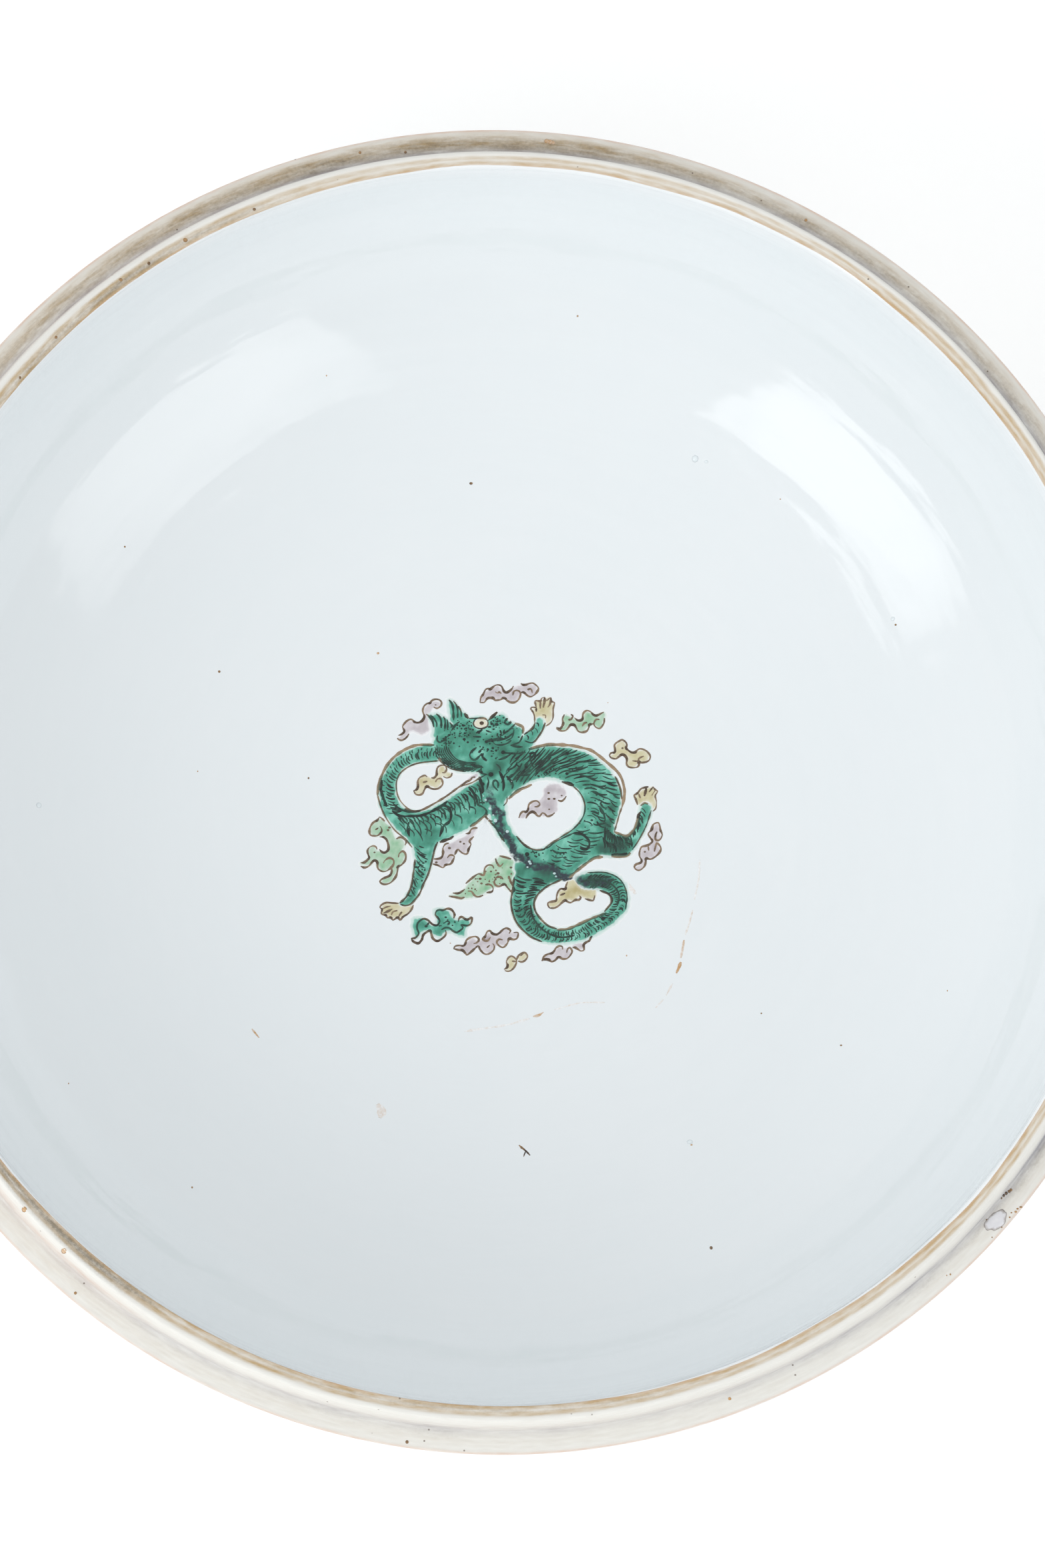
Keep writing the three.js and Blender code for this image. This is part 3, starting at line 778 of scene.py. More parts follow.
# Brush lines as x, y pairs in tenths of a millimetre. THICK lines are loaded and dark, FINE ones thin and
# dry, WIDE ones the pale outer contour that ran beside the green.
PLAIN, THICK, FINE, WIDE = (0.46, 0.74), (0.64, 0.97), (0.34, 0.6), (0.66, 0.32)  # width mm, load
CLOUD_LINES = (
    [-173, 175, -167, 177, -162, 181, -161, 185, -164, 192, -161, 198, -155, 204, -148, 207, -143, 205, -141,
    202, -134, 200, -127, 202, -122, 207, -120, 213, -122, 219, -123, 225, -120, 233, -114, 238, -108, 239,
    -104, 244, -97, 246.5, -89, 245, -85, 240, -86, 234, -90, 230, -95, 228, -101, 231], [-175, 170, -173,
    167, -167, 165, -160, 168, -155, 173, -152, 178], [-8, 238, -6, 248, -2, 253, 1, 259, 4, 264, 9, 266,
    12.5, 264, 18, 268, 23.5, 272, 30, 273, 36, 270, 39, 263, 41, 259, 46, 257, 53, 261, 57, 265, 60, 270],
    [75, 275, 79, 272, 85, 272, 91, 274, 99, 275, 106, 270, 110, 264, 106, 256, 100, 250, 93, 247.5, 87, 250,
    83, 254, 79, 257, 73.5, 256], [-8, 238, 0, 238, 3, 241, 7, 246, 13, 247, 19, 246, 22, 242, 28, 242, 34,
    243, 38, 246, 43, 245, 46, 241, 53, 237, 62, 237, 69, 242, 73, 250, 73.5, 255, 71, 259, 65, 261, 60, 258,
    58, 251], [23, 259, 28, 256, 31, 259, 35, 255], [87.5, 262, 92, 264, 96, 261, 97, 255], [143, 184, 150,
    181, 154, 185, 157, 192, 156, 201, 160, 210], [173, 210, 177, 206, 172, 198], [180, 203, 185, 198, 191,
    197, 196, 200, 197, 209, 200, 214, 206, 217, 213, 214, 217, 209, 223, 206, 229, 208, 235, 211, 239, 213],
    [240, 201, 239, 192, 235, 185, 230, 180, 223, 182, 219, 187, 219, 192, 223, 198, 230, 198], [219, 190,
    213, 189, 209, 188, 208, 182, 203, 175, 193, 173, 186, 176, 183, 182, 179, 188, 173, 189, 170, 187, 162,
    178, 152, 177, 143, 182], [195, 185, 199, 191, 205, 193], [247, 125, 251, 130, 258, 131, 259, 137, 258,
    145, 262, 150, 267, 153, 274, 156, 281, 151, 283, 145, 281, 139, 286, 134, 292, 130, 299, 130, 303, 134,
    309, 137, 317, 135, 324, 130, 329, 122, 327, 114, 320, 110, 311, 109, 305, 111, 306, 105, 302, 100, 294,
    99, 285, 101, 281, 107, 282, 117, 278, 124, 272, 126, 266, 122, 260, 118, 251, 120, 247, 125], [293, 113,
    304, 112, 306, 117, 311, 120, 316, 122], [-146, 63, -140, 65, -137, 71, -137, 81, -134, 88, -127, 92,
    -122, 93, -118, 90], [-110, 88, -104, 88, -99, 94, -99, 98, -98, 106, -94, 111, -87, 113, -81, 111, -79,
    104, -83, 98, -88, 98], [-68, 97, -71, 90, -79, 87, -86, 90], [-146, 63, -142, 56, -135, 54, -128, 57,
    -124, 65, -119, 71, -112, 67, -104, 65, -95, 67, -88, 74, -88, 81, -91, 86, -98, 85, -102, 79], [-127,
    79, -118, 81], [-50, 73, -46, 74, -41, 78, -32, 82, -28, 87, -22, 87.5], [62, 3, 66, 12, 71, 16, 77, 15,
    81, 20, 82, 27, 85, 32, 92, 36, 99, 36.5, 104, 32, 104, 28, 99, 25, 94, 25], [76, 2, 80, 9, 84, 13, 90,
    15, 95, 12, 99, 7, 104, 6, 109, 12, 114, 10, 119, 5, 127, 7, 134, 12], [141, 37, 148, 35, 154, 39, 158,
    45], [-110, -75, -102, -75, -94, -72, -91, -63, -91, -54, -86, -46, -79, -44], [-45, -26, -38, -25, -34,
    -18, -28, -15, -21, -15], [-29, -32, -38, -41, -35, -47, -40, -57, -43, -66, -50, -66, -57, -61, -61,
    -57, -64, -60, -68, -68], [-83, -74, -79, -69, -74, -68, -69, -71, -72, -79, -77, -86, -87, -87.5, -92,
    -93, -102, -88, -112, -85], [-215, 12, -220, 5, -227, 1.5, -233, -6, -236, -16, -234, -24, -226, -26,
    -219, -25, -212, -18, -212, -11, -215, -7], [-216, -28, -208, -29, -202, -35, -199, -46, -200, -55, -207,
    -60, -213, -58, -217, -53], [-222, -53, -224, -48, -230, -46, -237, -49, -241, -56, -239, -65, -238, -70,
    -244, -76, -249, -79, -255, -79], [-255, -86, -248, -89, -239, -86, -232, -78, -227, -75, -222, -79,
    -222, -88, -219, -94, -210, -98, -201, -95, -192, -87, -189, -79, -192, -73, -199, -71, -207, -76, -210,
    -81], [-194, -91, -194, -99, -198, -106, -207, -110, -214, -113, -218, -117.5, -214, -122, -207, -123.5,
    -198, -121, -191, -115, -185, -106, -182, -94, -182, -89, -174, -85, -167, -77, -165, -68, -167, -61,
    -172, -58, -178, -63, -180, -70], [-183, -33, -176, -30, -169, -32, -163, -38, -166, -46], [-215, 12,
    -211, 9, -205, 3], [-224, -14, -218, -10], [-159, -232, -152, -232, -146, -227, -144, -222, -147, -213,
    -146, -204, -141, -198, -133, -194, -125, -197, -122, -200, -117, -205, -110, -208, -105, -206, -102,
    -199, -106, -192, -110, -187, -108, -180, -102, -177, -95, -178, -85, -175, -77, -178, -72, -187, -74,
    -195], [-65, -202, -63, -195, -58, -192, -51, -197, -46, -198, -38, -194, -39, -204, -44, -209, -50,
    -210, -60, -208, -56, -214, -63, -220, -69, -223, -76, -220, -83, -214, -91, -213, -99, -217], [-91,
    -218, -90, -225, -95, -232, -107, -239, -116, -234, -119, -225, -121, -218, -127, -220, -135, -226, -138,
    -235, -144, -242, -149, -242, -156, -238, -159, -232], [-92, -203, -87, -200, -82, -203, -85, -208],
    [-129, -209, -122, -201], [-76, -255, -72, -250, -64, -249, -56, -250, -52, -245, -50, -239, -43, -234,
    -32, -232, -26, -236, -26, -241, -31, -245, -36, -246], [-2, -234, -8, -241, -15, -240, -18, -237, -13,
    -233, -9, -224, -3, -221, 2, -227, 10, -229, 16, -226, 24, -219, 31, -217, 38, -222, 35, -228], [44,
    -226, 52, -226, 53, -231, 50, -238, 43, -240, 35, -238, 31, -247, 23, -255, 15, -252, 10, -245, 14, -239,
    22, -240], [-76, -255, -66, -258, -58, -259, -51, -267, -49, -268, -41, -262, -34, -256, -27, -251, -23,
    -259, -15, -267, -6, -267, 3, -260, 5, -252, 2, -247], [-10, -255, -4, -250], [23, -299, 29, -295, 30,
    -290, 28, -284, 32, -276, 39, -273, 46, -278, 48, -284, 44, -294, 37, -301, 30, -303, 24, -301], [39,
    -283, 47, -284], [48, -282, 51, -274, 56, -269, 63, -266, 68, -269, 70, -275, 65, -282, 58, -285, 51,
    -283], [56, -273, 63, -267], [98, -284, 103, -275, 110, -271, 119, -269, 124, -264, 127, -259, 134, -255,
    140, -257, 140, -262], [148, -269, 150, -262, 155, -259, 159, -266, 156, -273, 149, -280, 140, -281, 132,
    -277, 125, -283, 118, -286, 112, -282, 104, -281, 98, -284], [160, -259, 165, -259, 170, -262, 176, -266,
    182, -265, 183, -260, 182, -255, 186, -250, 194, -246, 197, -240, 200, -237], [117, -179, 114, -173, 115,
    -168, 124, -166, 131, -164, 132, -156, 135, -147, 141, -141, 150, -142, 151, -136, 155, -127], [117,
    -179, 127, -179, 135, -175, 143, -168, 149, -164, 153, -167, 160, -169, 169, -164, 176, -164, 180, -159,
    177, -156], [188, -162, 194, -164, 204, -166, 207, -160, 208, -156], [139, -154, 149, -150], [337, -31,
    334, -37, 333, -46, 338, -49, 344, -45, 347, -37, 344, -29, 343, -21, 340, -13, 332, -15, 329, -18, 326,
    -27, 319, -35, 323, -43, 327, -50, 321, -56, 313, -59, 305, -61, 301, -69, 300, -79, 304, -88, 301, -93,
    292, -96, 289, -102, 294, -107, 301, -107, 309, -100, 312, -91, 313, -84, 322, -86, 332, -81, 341, -72,
    343, -63, 336, -54, 332, -63, 330, -71], [318, -60, 319, -69], [-74, -144, -64, -145, -57, -142, -50,
    -137], [-82, -150, -77, -151, -67, -153, -58, -155, -51, -153], [-44, -141, -37, -142, -31, -150, -24,
    -153, -14, -150], [-7, -145, 4, -143, 6, -135, 0, -129, -9, -129], [27, -119, 21, -114, 13, -116, 9,
    -125, 12, -131, 19, -133, 29, -129, 35, -136, 41, -143, 46, -144, 48, -138, 41, -123, 39, -114], [-48,
    -126, -41, -120, -32, -113, -22, -107, -13, -110, -10, -106, -9, -96, -2, -90, 6, -91, 9, -97], [13, -77,
    15, -85, 21, -93, 28, -87], [21, -72, 32, -75, 44, -79])
CLOUD_DOTS = (
    -97, 235, 31, 258, 90, 262, 274, 139, 123, 52, 123, 40, 123, 19, 134, 40, -49, -46, -78, -54, -56, -42,
    -227, -59, -196, -10, -199, -15, -129, -209, 311, -71, 3, -103, 43, -96, 170, 199, 149, 46, -28, -117,
    -19, -117, 17, -107, -105, -82, 12, 246)
DRAGON_LINES = {
    PLAIN: (
        [-165, 27, -146, 21.5, -130, 24, -104, 37, -80, 51, -54, 69, -44, 72], [-16, 35, -10, 36, -5, 35],
        [2, 86, 4, 78, 2, 70, 0, 62], [22, 59, 14, 68, 13, 76, 18, 80, 23, 74, 22, 64], [60, 89, 72, 89, 88,
        90], [32, 136, 46, 134, 64, 133, 80, 135], [50, 150, 62, 147, 74, 146], [-26, 110, -16, 110, -6,
        106], [20, 113, 27, 106, 29, 98], [-188, 39, -178, 29, -165, 23, -150, 20.5, -136, 21], [-18, 30, -8,
        26, -2, 18, -4, 8, 3, -1, 10, -2], [4, -3, 14, -14, 22, -28, 32, -44], [-147, -75, -149, -90, -152,
        -108, -155, -125, -160, -138, -167, -150, -180, -162], [-101, -41, -107, -54, -111, -69, -117, -91,
        -123, -108, -132, -125, -139, -142, -148, -154, -158, -164, -169, -167, -179, -164], [-182, -162,
        -194, -161, -207, -160, -217, -165, -219, -170, -215, -173, -217, -181, -213, -184, -208, -185, -205,
        -190, -198, -190, -194, -195, -185, -190, -180, -195, -174, -189, -164, -183, -157, -175, -153,
        -166], [-213, -181, -205, -178, -195, -173], [-197, -185, -194, -179, -185, -176], [-183, -189, -180,
        -184, -176, -179], [257, 82, 261, 74, 267, 56, 269, 36], [56, -33, 66, -46, 78, -56, 94, -62, 112,
        -61], [300, 24, 297, 35, 294, 43, 300, 47, 308, 56, 314, 58, 323, 60], [303, 46, 306, 37], [332, 59,
        324, 49], [49, -115, 45, -140, 41, -170, 50, -205, 75, -233, 100, -246], [144, -122, 110, -138, 89,
        -160, 89, -185, 110, -212, 130, -221], [226, -189, 241, -170, 237, -155, 218, -146], [79, -172, 83,
        -196, 98, -218, 118, -232, 140, -238, 165, -235], [182, -129, 200, -124, 226, -127, 246, -138, 256,
        -156, 252, -178], [220, 24, 226, 19, 232, 6, 234, -6], [210, -12, 216, -15, 226, -13, 233, -12], [12,
        162, 24, 161, 38, 163, 48, 168, 55, 174], [30, 181, 33, 173], [39, 182, 36, 174], [25, 175, 24, 168],
        [89, 133, 89, 120, 92, 110, 95, 102], [62, 111, 66, 104, 66, 99], [-16, 99, -7, 94, 2, 92], [78, 171,
        87, 177, 96, 184, 101, 195], [121, 194, 115, 179, 107, 167, 99, 157, 91, 154, 79, 158], [104, 226,
        104, 217], [113, 238, 112, 223], [134, 244, 132, 232, 127, 225], [103, 236, 104, 228], [-31, 206,
        -21, 206, 0, 206, 6, 201], [60, 192, 53, 185, 46, 179, 37, 175], [13, 162, 21, 163, 29, 165, 38,
        163], [15, 157, 21, 152, 32, 151, 44, 154, 52, 160], [75, 169, 69, 157, 62, 153, 52, 150], [-18, 147,
        -28, 139, -32, 132, -29, 125, -22, 122, -13, 129, -9, 135], [25, 121, 40, 126, 54, 135], [-116, 217,
        -109, 210, -104, 202, -102, 190], [-108, 215, -100, 206, -96, 198, -96, 190], [-96, 217, -90, 211,
        -87, 203, -87, 188], [-82, 211, -79, 203, -80, 185], [-75, 205, -74, 196, -75, 185], [-70, 199, -66,
        193, -68, 188], [-70, 245, -64, 236, -62, 223, -62, 203], [-61, 242, -55, 233, -53, 222, -54, 208],
        [-52, 232, -47, 222, -46, 210], [-50, 200, -58, 194, -67, 182], [-95, 173, -96, 164, -91, 159, -83,
        163, -77, 170], [2, 181, 9, 178, 13, 177], [-24, 169, -8, 168]),
    THICK: (
        [-208, 86, -211, 68, -206, 48, -200, 32], [-14, 88, -11, 76, -8, 64, -10, 54], [-36, 68, -27, 56,
        -21, 42, -19, 32, -10, 28], [26, 98, 32, 84, 34, 70, 32, 58], [40, 88, 48, 78, 52, 69, 50, 62],
        [-190, 24, -179, 15, -167, 12, -149, 12, -133, 12.5, -116, 18, -104, 24, -94, 29, -79, 40], [-88, 31,
        -77, 28, -73, 18, -74, 4, -80, -4, -88, -9, -93, -21, -97, -31], [-157, 0, -160, -12, -157, -29],
        [-97, -42, -86, -38, -76, -35, -69, -30], [150, 74, 163, 70, 172, 65], [170, -30, 179, -30, 189, -34,
        198, -43, 201, -52, 198, -60, 192, -63.5, 182, -60], [244, -75, 262, -76, 276, -73], [292, -24, 299,
        -12, 301, 2, 306, 10], [319, 57, 314, 41], [154, 73, 166, 70, 174, 66], [0, 158, 7, 160, 14, 164],
        [-18, 176, -11, 179, -5, 183], [-8, 135, -6, 128, 0, 120], [-30, 113, -18, 108, -8, 109], [121, 245,
        121, 237, 118, 225], [-40, 217, -36, 211, -32, 206], [26, 218, 16, 209, 7, 201], [38, 197, 46, 192,
        53, 198], [40, 198, 46, 205], [-9, 135, -6, 126, 2, 120], [-16, 178, -10, 176], [86, 132, 97, 133,
        98, 124, 92, 118]),
    FINE: (
        [-218, 56, -212, 33, -202, 9, -185, -16, -166, -33, -152, -51], [-94, 122, -140, 117, -168, 102,
        -179, 83, -179, 60, -172, 42, -156, 25, -146, 22], [-46, 71, -28, 77, -14, 85, 0, 92], [-215, -173,
        -207, -169, -198, -167], [269, 21, 263, 6, 258, -10, 252, -28], [42, 42, 65, 61, 80, 66], [32, 28,
        39, 36, 40, 46], [172, 65, 186, 50, 194, 30, 193, 10, 184, -7, 168, -23, 150, -34, 125, -49, 110,
        -60], [112, -60, 121, -56, 132, -47, 147, -40, 170, -30], [286, -66, 298, -50, 315, -20, 327, 12],
        [332, 60, 336, 54, 341, 50, 336, 41, 338, 29, 336, 16, 330, 10], [336, 52, 329, 42], [195, -110, 232,
        -111, 260, -126, 272, -155, 268, -185], [100, 195, 100, 207, 97, 217, 93, 223, 96, 226, 104, 226,
        101, 234, 104, 239, 113, 238, 116, 244, 122, 246], [122, 246, 125, 239, 134, 245, 135, 237, 141, 234,
        138, 222, 137, 204, 132, 194, 122, 187], [116, 210, 122, 209, 122, 203], [58, 181, 56, 172, 52, 164,
        41, 159], [33, 169, 42, 176, 51, 183, 58, 183]),
    WIDE: (
        [-102, 154, -140, 154, -173, 139, -196, 117, -212, 86, -218, 56], [-36, -12, -24, -5, -10, 6, 0, 13],
        [86, 141, 110, 147, 130, 149.5, 170, 147, 192, 142, 210, 136.5, 224, 127, 241, 112, 261, 93, 270, 78,
        274, 62, 275, 49, 272, 32, 269, 21], [43, 42, 54, 52, 66, 60, 77, 64, 90, 70], [158, -119, 170, -109,
        183, -99, 197, -89, 211, -80.5, 227, -79.5], [244, -78, 264, -79, 275, -78, 282, -72], [251, -29,
        264, -35, 276, -39, 286, -32, 295, -19, 301, 0], [306, 22, 314, 27, 321, 25], [130, -223, 150, -222,
        170, -215, 200, -202, 230, -192], [60, 194, 68, 191, 75, 187, 76.5, 182, 75, 173]),
}
# Dots and blots of ink on the face: x, y, radius
FACE_DOTS = np.array([
    [1.4, 19.4, 0.3], [2.5, 19.2, 0.27], [0.8, 18.8, 0.2], [2.4, 20.3, 0.15], [2.65, 20.05, 0.14], [3.05,
    20.15, 0.13], [1.75, 20, 0.18], [3.8, 20.6, 0.2], [3.05, 21.05, 0.15], [2.2, 21.2, 0.15], [6.4, 18.4,
    0.12], [1.7, 18.3, 0.2], [0.3, 17.35, 0.15], [-2.4, 18.3, 0.2], [-3.2, 18.5, 0.12], [-3.6, 19.5, 0.14],
    [-3.05, 20, 0.18], [-2.7, 19.75, 0.14], [6.7, 16.6, 0.2], [-4.3, 19.2, 0.26], [-4.2, 16.4, 0.3], [-3.5,
    15.8, 0.24], [-1.5, 16, 0.24], [-1.3, 17.8, 0.36], [0.2, 15.8, 0.32], [1.4, 16, 0.34], [1.45, 14.5,
    0.26], [0.45, 14.2, 0.25], [2.1, 14, 0.24], [3.5, 13.6, 0.42], [8, 10.5, 0.36], [-0.7, 13.1, 0.28],
    [-5.2, 15, 0.16], [-6, 16.8, 0.18], [-5, 17.6, 0.2], [-2.2, 11, 0.3], [0.9, 9.2, 0.5], [-1, 9.7, 0.32],
    [-0.8, 7.3, 0.4], [16.3, 13.1, 0.4], [16.1, 9, 0.34], [7.6, -7, 0.45], [12, 9.3, 0.26], [6.8, -18.7,
    0.2], [6, -16.3, 0.2], [5.7, -17.7, 0.2]])
# Clusters of fine dots: centre x and y, spread across and up, number
DOT_CLUSTERS = (
    (-4.5, 18.2, 2.2, 1.5, 46), (2, 19.4, 1.6, 1.2, 30), (-7.6, 16.2, 1.3, 1, 22), (0.2, 14.2, 2.6, 1.6, 26),
    (3.2, 17, 1.6, 0.8, 12), (18.5, 1.5, 1.6, 4, 26), (13, 9.6, 4, 0.9, 18), (-13.5, -9.5, 1, 2.2, 14),
    (14.5, -7.2, 2.4, 1.2, 18), (9.5, -7, 2.2, 0.8, 20), (-8.5, -20.3, 2.6, 1.2, 16), (0.5, -11.5, 3.2, 1.6,
    22), (-3.5, -13.4, 1.8, 1, 10), (22.5, 3, 1.8, 3.5, 14), (6, -22.5, 1.5, 1.5, 8), (21, -12.4, 2.2, 0.6,
    14))
EYE_RING = [-22.7, 196, -19, 203.5, -8, 207, 3.5, 203, 6.7, 196, 3.5, 188.5, -8, 185, -19, 188.5]
# Rows of short hatching across the dragon: two edges in tenths, with the same sense, then for each row where
# it starts and ends across the band, spacing, lean and bow along the band in mm, width and load
HATCHING = (
    ([-100, 150, -140, 148, -180, 128, -205, 93, -212, 60, -208, 36, -196, 16], [-95, 124, -140, 120, -167,
    104, -180, 80, -180, 55, -173, 36, -162, 26], ((0.34, 0.86, 0.68, 0.5, 0.25, 0.44, 0.97), (0.06, 0.34, 1,
    0.3, 0.1, 0.34, 0.85))), ([-186, 19, -167, 11, -149, 11, -133, 12, -116, 17, -94, 28, -70, 44, -40, 62,
    -15, 74], [-174, -24, -160, -34, -135, -44, -115, -44, -97, -36, -75, -29, -50, -18, -25, -2, -6, 10],
    ((0, 0.32, 0.78, 0.7, 0.35, 0.42, 0.97), (0.14, 0.6, 1.1, 0.9, 0.55, 0.38, 0.9), (0.45, 0.88, 1.7, 1,
    0.5, 0.32, 0.8))), ([-149, -44, -148, -75, -150, -95, -155, -123, -166, -148], [-106, -44, -112, -69,
    -119, -91, -131, -120, -146, -148], ((0.1, 0.8, 0.9, 1.6, 0.3, 0.34, 0.85), (0.3, 0.6, 1.5, 0.4, 0.1,
    0.5, 0.97))), ([60, 140, 80, 140, 130, 145, 180, 139, 220, 119, 251, 86, 265, 50, 263, 20, 248, -26],
    [25, 65, 55, 58, 95, 78, 120, 82, 150, 76, 178, 60, 192, 35, 190, 10, 175, -15], ((0.04, 0.38, 0.85,
    -1.3, 0.3, 0.36, 0.9), (0.3, 0.68, 1.05, -1.3, 0.5, 0.38, 0.95), (0.56, 0.88, 1.25, -0.9, -0.3, 0.34,
    0.85))), ([248, -26, 235, -48, 215, -72, 183, -94, 160, -110], [178, -16, 155, -36, 134, -49, 118, -62,
    110, -85], ((0.16, 0.58, 1, 0.8, 0.4, 0.34, 0.85), (0.55, 0.88, 1.2, 0.7, 0.5, 0.34, 0.88))), ([49, -110,
    47, -140, 44, -170, 53, -203, 77, -230, 110, -245, 150, -247, 195, -237, 237, -212, 266, -185, 271, -155,
    260, -129, 232, -114, 200, -113], [130, -124, 110, -136, 86, -160, 86, -185, 109, -215, 140, -225, 170,
    -218, 200, -205, 228, -191, 243, -170, 238, -156, 218, -146, 190, -142], ((0.06, 0.48, 0.66, 0.6, 0.3,
    0.4, 0.97), (0.5, 0.94, 0.6, 0.5, -0.2, 0.4, 0.97))), ([79, 169, 88, 175, 98, 184, 104, 200], [86, 156,
    98, 158, 108, 170, 119, 194], ((0.05, 0.75, 0.85, -0.3, 0.2, 0.36, 0.9),)), ([268, -40, 284, -33, 296,
    -18, 303, 2, 308, 19], [280, -66, 295, -51, 310, -24, 320, -2, 325, 12], ((0.05, 0.68, 0.62, -0.5, 0.1,
    0.42, 0.97),)), ([232, -15, 246, -32, 265, -39, 284, -39], [216, -66, 236, -72, 260, -72, 286, -62], ((0,
    0.5, 0.5, 0.5, 0.3, 0.5, 1), (0.45, 0.95, 0.55, 0.8, 0.3, 0.5, 1))), ([-102, 152, -96, 126, -72, 107,
    -40, 99, -10, 97], [-66, 156, -62, 142, -48, 130, -30, 126, -10, 125], ((0, 0.45, 0.75, 1.3, 0.5, 0.32,
    0.8),)))
BEARD = (
    [-102, 154, -98, 128, -74, 106, -42, 98, -10, 95], [-74, 154, -70, 140, -56, 124, -34, 118, -10, 118])


def brush_line(line, width, load):
    """One brush line from its centre line, width in mm and load of ink. The brush lands and lifts in points,
    the width wavers, and ink gathers where a cloud's line turns into a valley."""
    count = len(line)
    share = np.linspace(0, 1, count)
    run = np.hypot(*np.diff(line, axis=0).T).sum()
    tip = min(0.5, 0.7 / max(run, 0.1))
    pressure = 0.55 + 0.45 * ease(np.minimum(share, 1 - share), 0, tip)
    waver = uneven(line[:, 0], line[:, 1], 1.9, 71)
    bend = np.gradient(np.gradient(line, axis=0), axis=0) / max(run / count, 0.05) ** 2
    turn = np.hypot(*bend.T)
    probe = line + bend / np.maximum(turn, 1e-6)[:, None] * 0.45
    edges = painted_field().edges
    nearest = np.minimum.reduce([on_field(edges[name], probe[:, 0], probe[:, 1]) for name in edges])
    valley = ease(nearest, -0.15, 0.35) * np.clip(turn * 0.9, 0, 1)
    lobe = ease(nearest, 0.1, -0.3) * np.clip(turn * 0.9, 0, 1)
    widths = width * pressure * (1 + 0.22 * waver + 0.35 * valley - 0.15 * lobe)
    loads = load * (1 + 0.35 * valley - 0.22 * lobe + 0.18 * uneven(line[:, 0], line[:, 1], 3.1, 72))
    return line, widths, np.clip(loads, 0, 1)


def paint_height(x, y):
    """Height of the medallion's surface, glaze and enamel, mm."""
    return on_field(painted_field().surface, x, y)


def under_green(x, y):
    """1 where the green wash covers a point, 0 outside it."""
    return ease(on_field(painted_field().edges["green"], x, y), 0.12, -0.12)


def lay_lines(name, lines, height_at, material, rise=0.025):
    """Brush lines as closed low ridges on the surface that height_at gives. Each ring of a line has its two
    edges just under the surface and two points rise mm over it, and the ends are flat."""
    points, faces, loads, under = [], [], [], []
    start, reach = 0, np.array([-0.5, -0.4, 0.4, 0.5])
    for line, widths, load in lines:
        along = np.gradient(line, axis=0)
        along = along / np.maximum(np.hypot(*along.T), 1e-9)[:, None]
        side = np.column_stack([-along[:, 1], along[:, 0]])
        ring = line[:, None] + side[:, None] * (reach * widths[:, None])[..., None]
        top = height_at(ring[..., 0], ring[..., 1]) + np.array([-0.03, rise, rise, -0.03])
        points.append(np.concatenate([ring + [BASE_AXIS, 0], top[..., None]], -1).reshape(-1, 3))
        rings = start + np.arange(len(line) - 1)[:, None] * 4
        first, beside = rings + np.arange(4), rings + (np.arange(4) + 1) % 4
        faces.append(np.stack([first, first + 4, beside + 4, beside], -1).reshape(-1, 4))
        faces.append(np.array([[0, 1, 2, 3], [3, 2, 1, 0]]) + [[start], [start + 4 * (len(line) - 1)]])
        loads.append((load[:, None] * [0.8, 1, 1, 0.8]).ravel())
        under.append(under_green(ring[..., 0], ring[..., 1]).ravel())
        start += 4 * len(line)
    attributes = {"load": np.concatenate(loads), "under": np.concatenate(under)}
    return new_piece(name, np.vstack(points), [np.vstack(faces)], "base", [material], attributes)


def lay_dots(name, spots, height_at, material):
    """Low round drops, one a row of x, y, two radii, height and load: a top point, a ring at 0.7 of the
    radius, a ring at the edge just under the surface, and a bottom point."""
    sides = 8
    ring = np.arange(sides)
    circle = np.column_stack([np.cos(ring * 2 * math.pi / sides), np.sin(ring * 2 * math.pi / sides)])
    unit = np.vstack([[[0, 0]], circle * 0.7, circle, [[0, 0]]])
    rise = np.concatenate([[1], np.full(sides, 0.75), np.full(sides, -0.25), [-0.6]])
    walls, beside = ring_quads(1 + np.arange(2 * sides).reshape(2, sides))
    near, far = 1 + ring, 1 + sides + ring
    top = np.column_stack([0 * ring, near, beside[0]])
    bottom = np.column_stack([len(unit) - 1 + 0 * ring, beside[1], far])
    flat = spots[:, None, :2] + unit * spots[:, None, 2:4]
    height = height_at(flat[..., 0], flat[..., 1]) + rise * spots[:, None, 4]
    points = np.concatenate([flat + [BASE_AXIS, 0], height[..., None]], -1).reshape(-1, 3)
    step = len(unit) * np.arange(len(spots))[:, None, None]
    faces = [(np.vstack([top, bottom]) + step).reshape(-1, 3), (walls + step).reshape(-1, 4)]
    under = under_green(flat[..., 0], flat[..., 1]).ravel()
    attributes = {"load": np.repeat(spots[:, 5], len(unit)), "under": under}
    return new_piece(name, points, faces, "base", [material], attributes)


def places_on(line, shares):
    """Places at those shares of the way along a line of evenly spaced points."""
    return np.column_stack([np.interp(shares, np.linspace(0, 1, len(line)), values) for values in line.T])


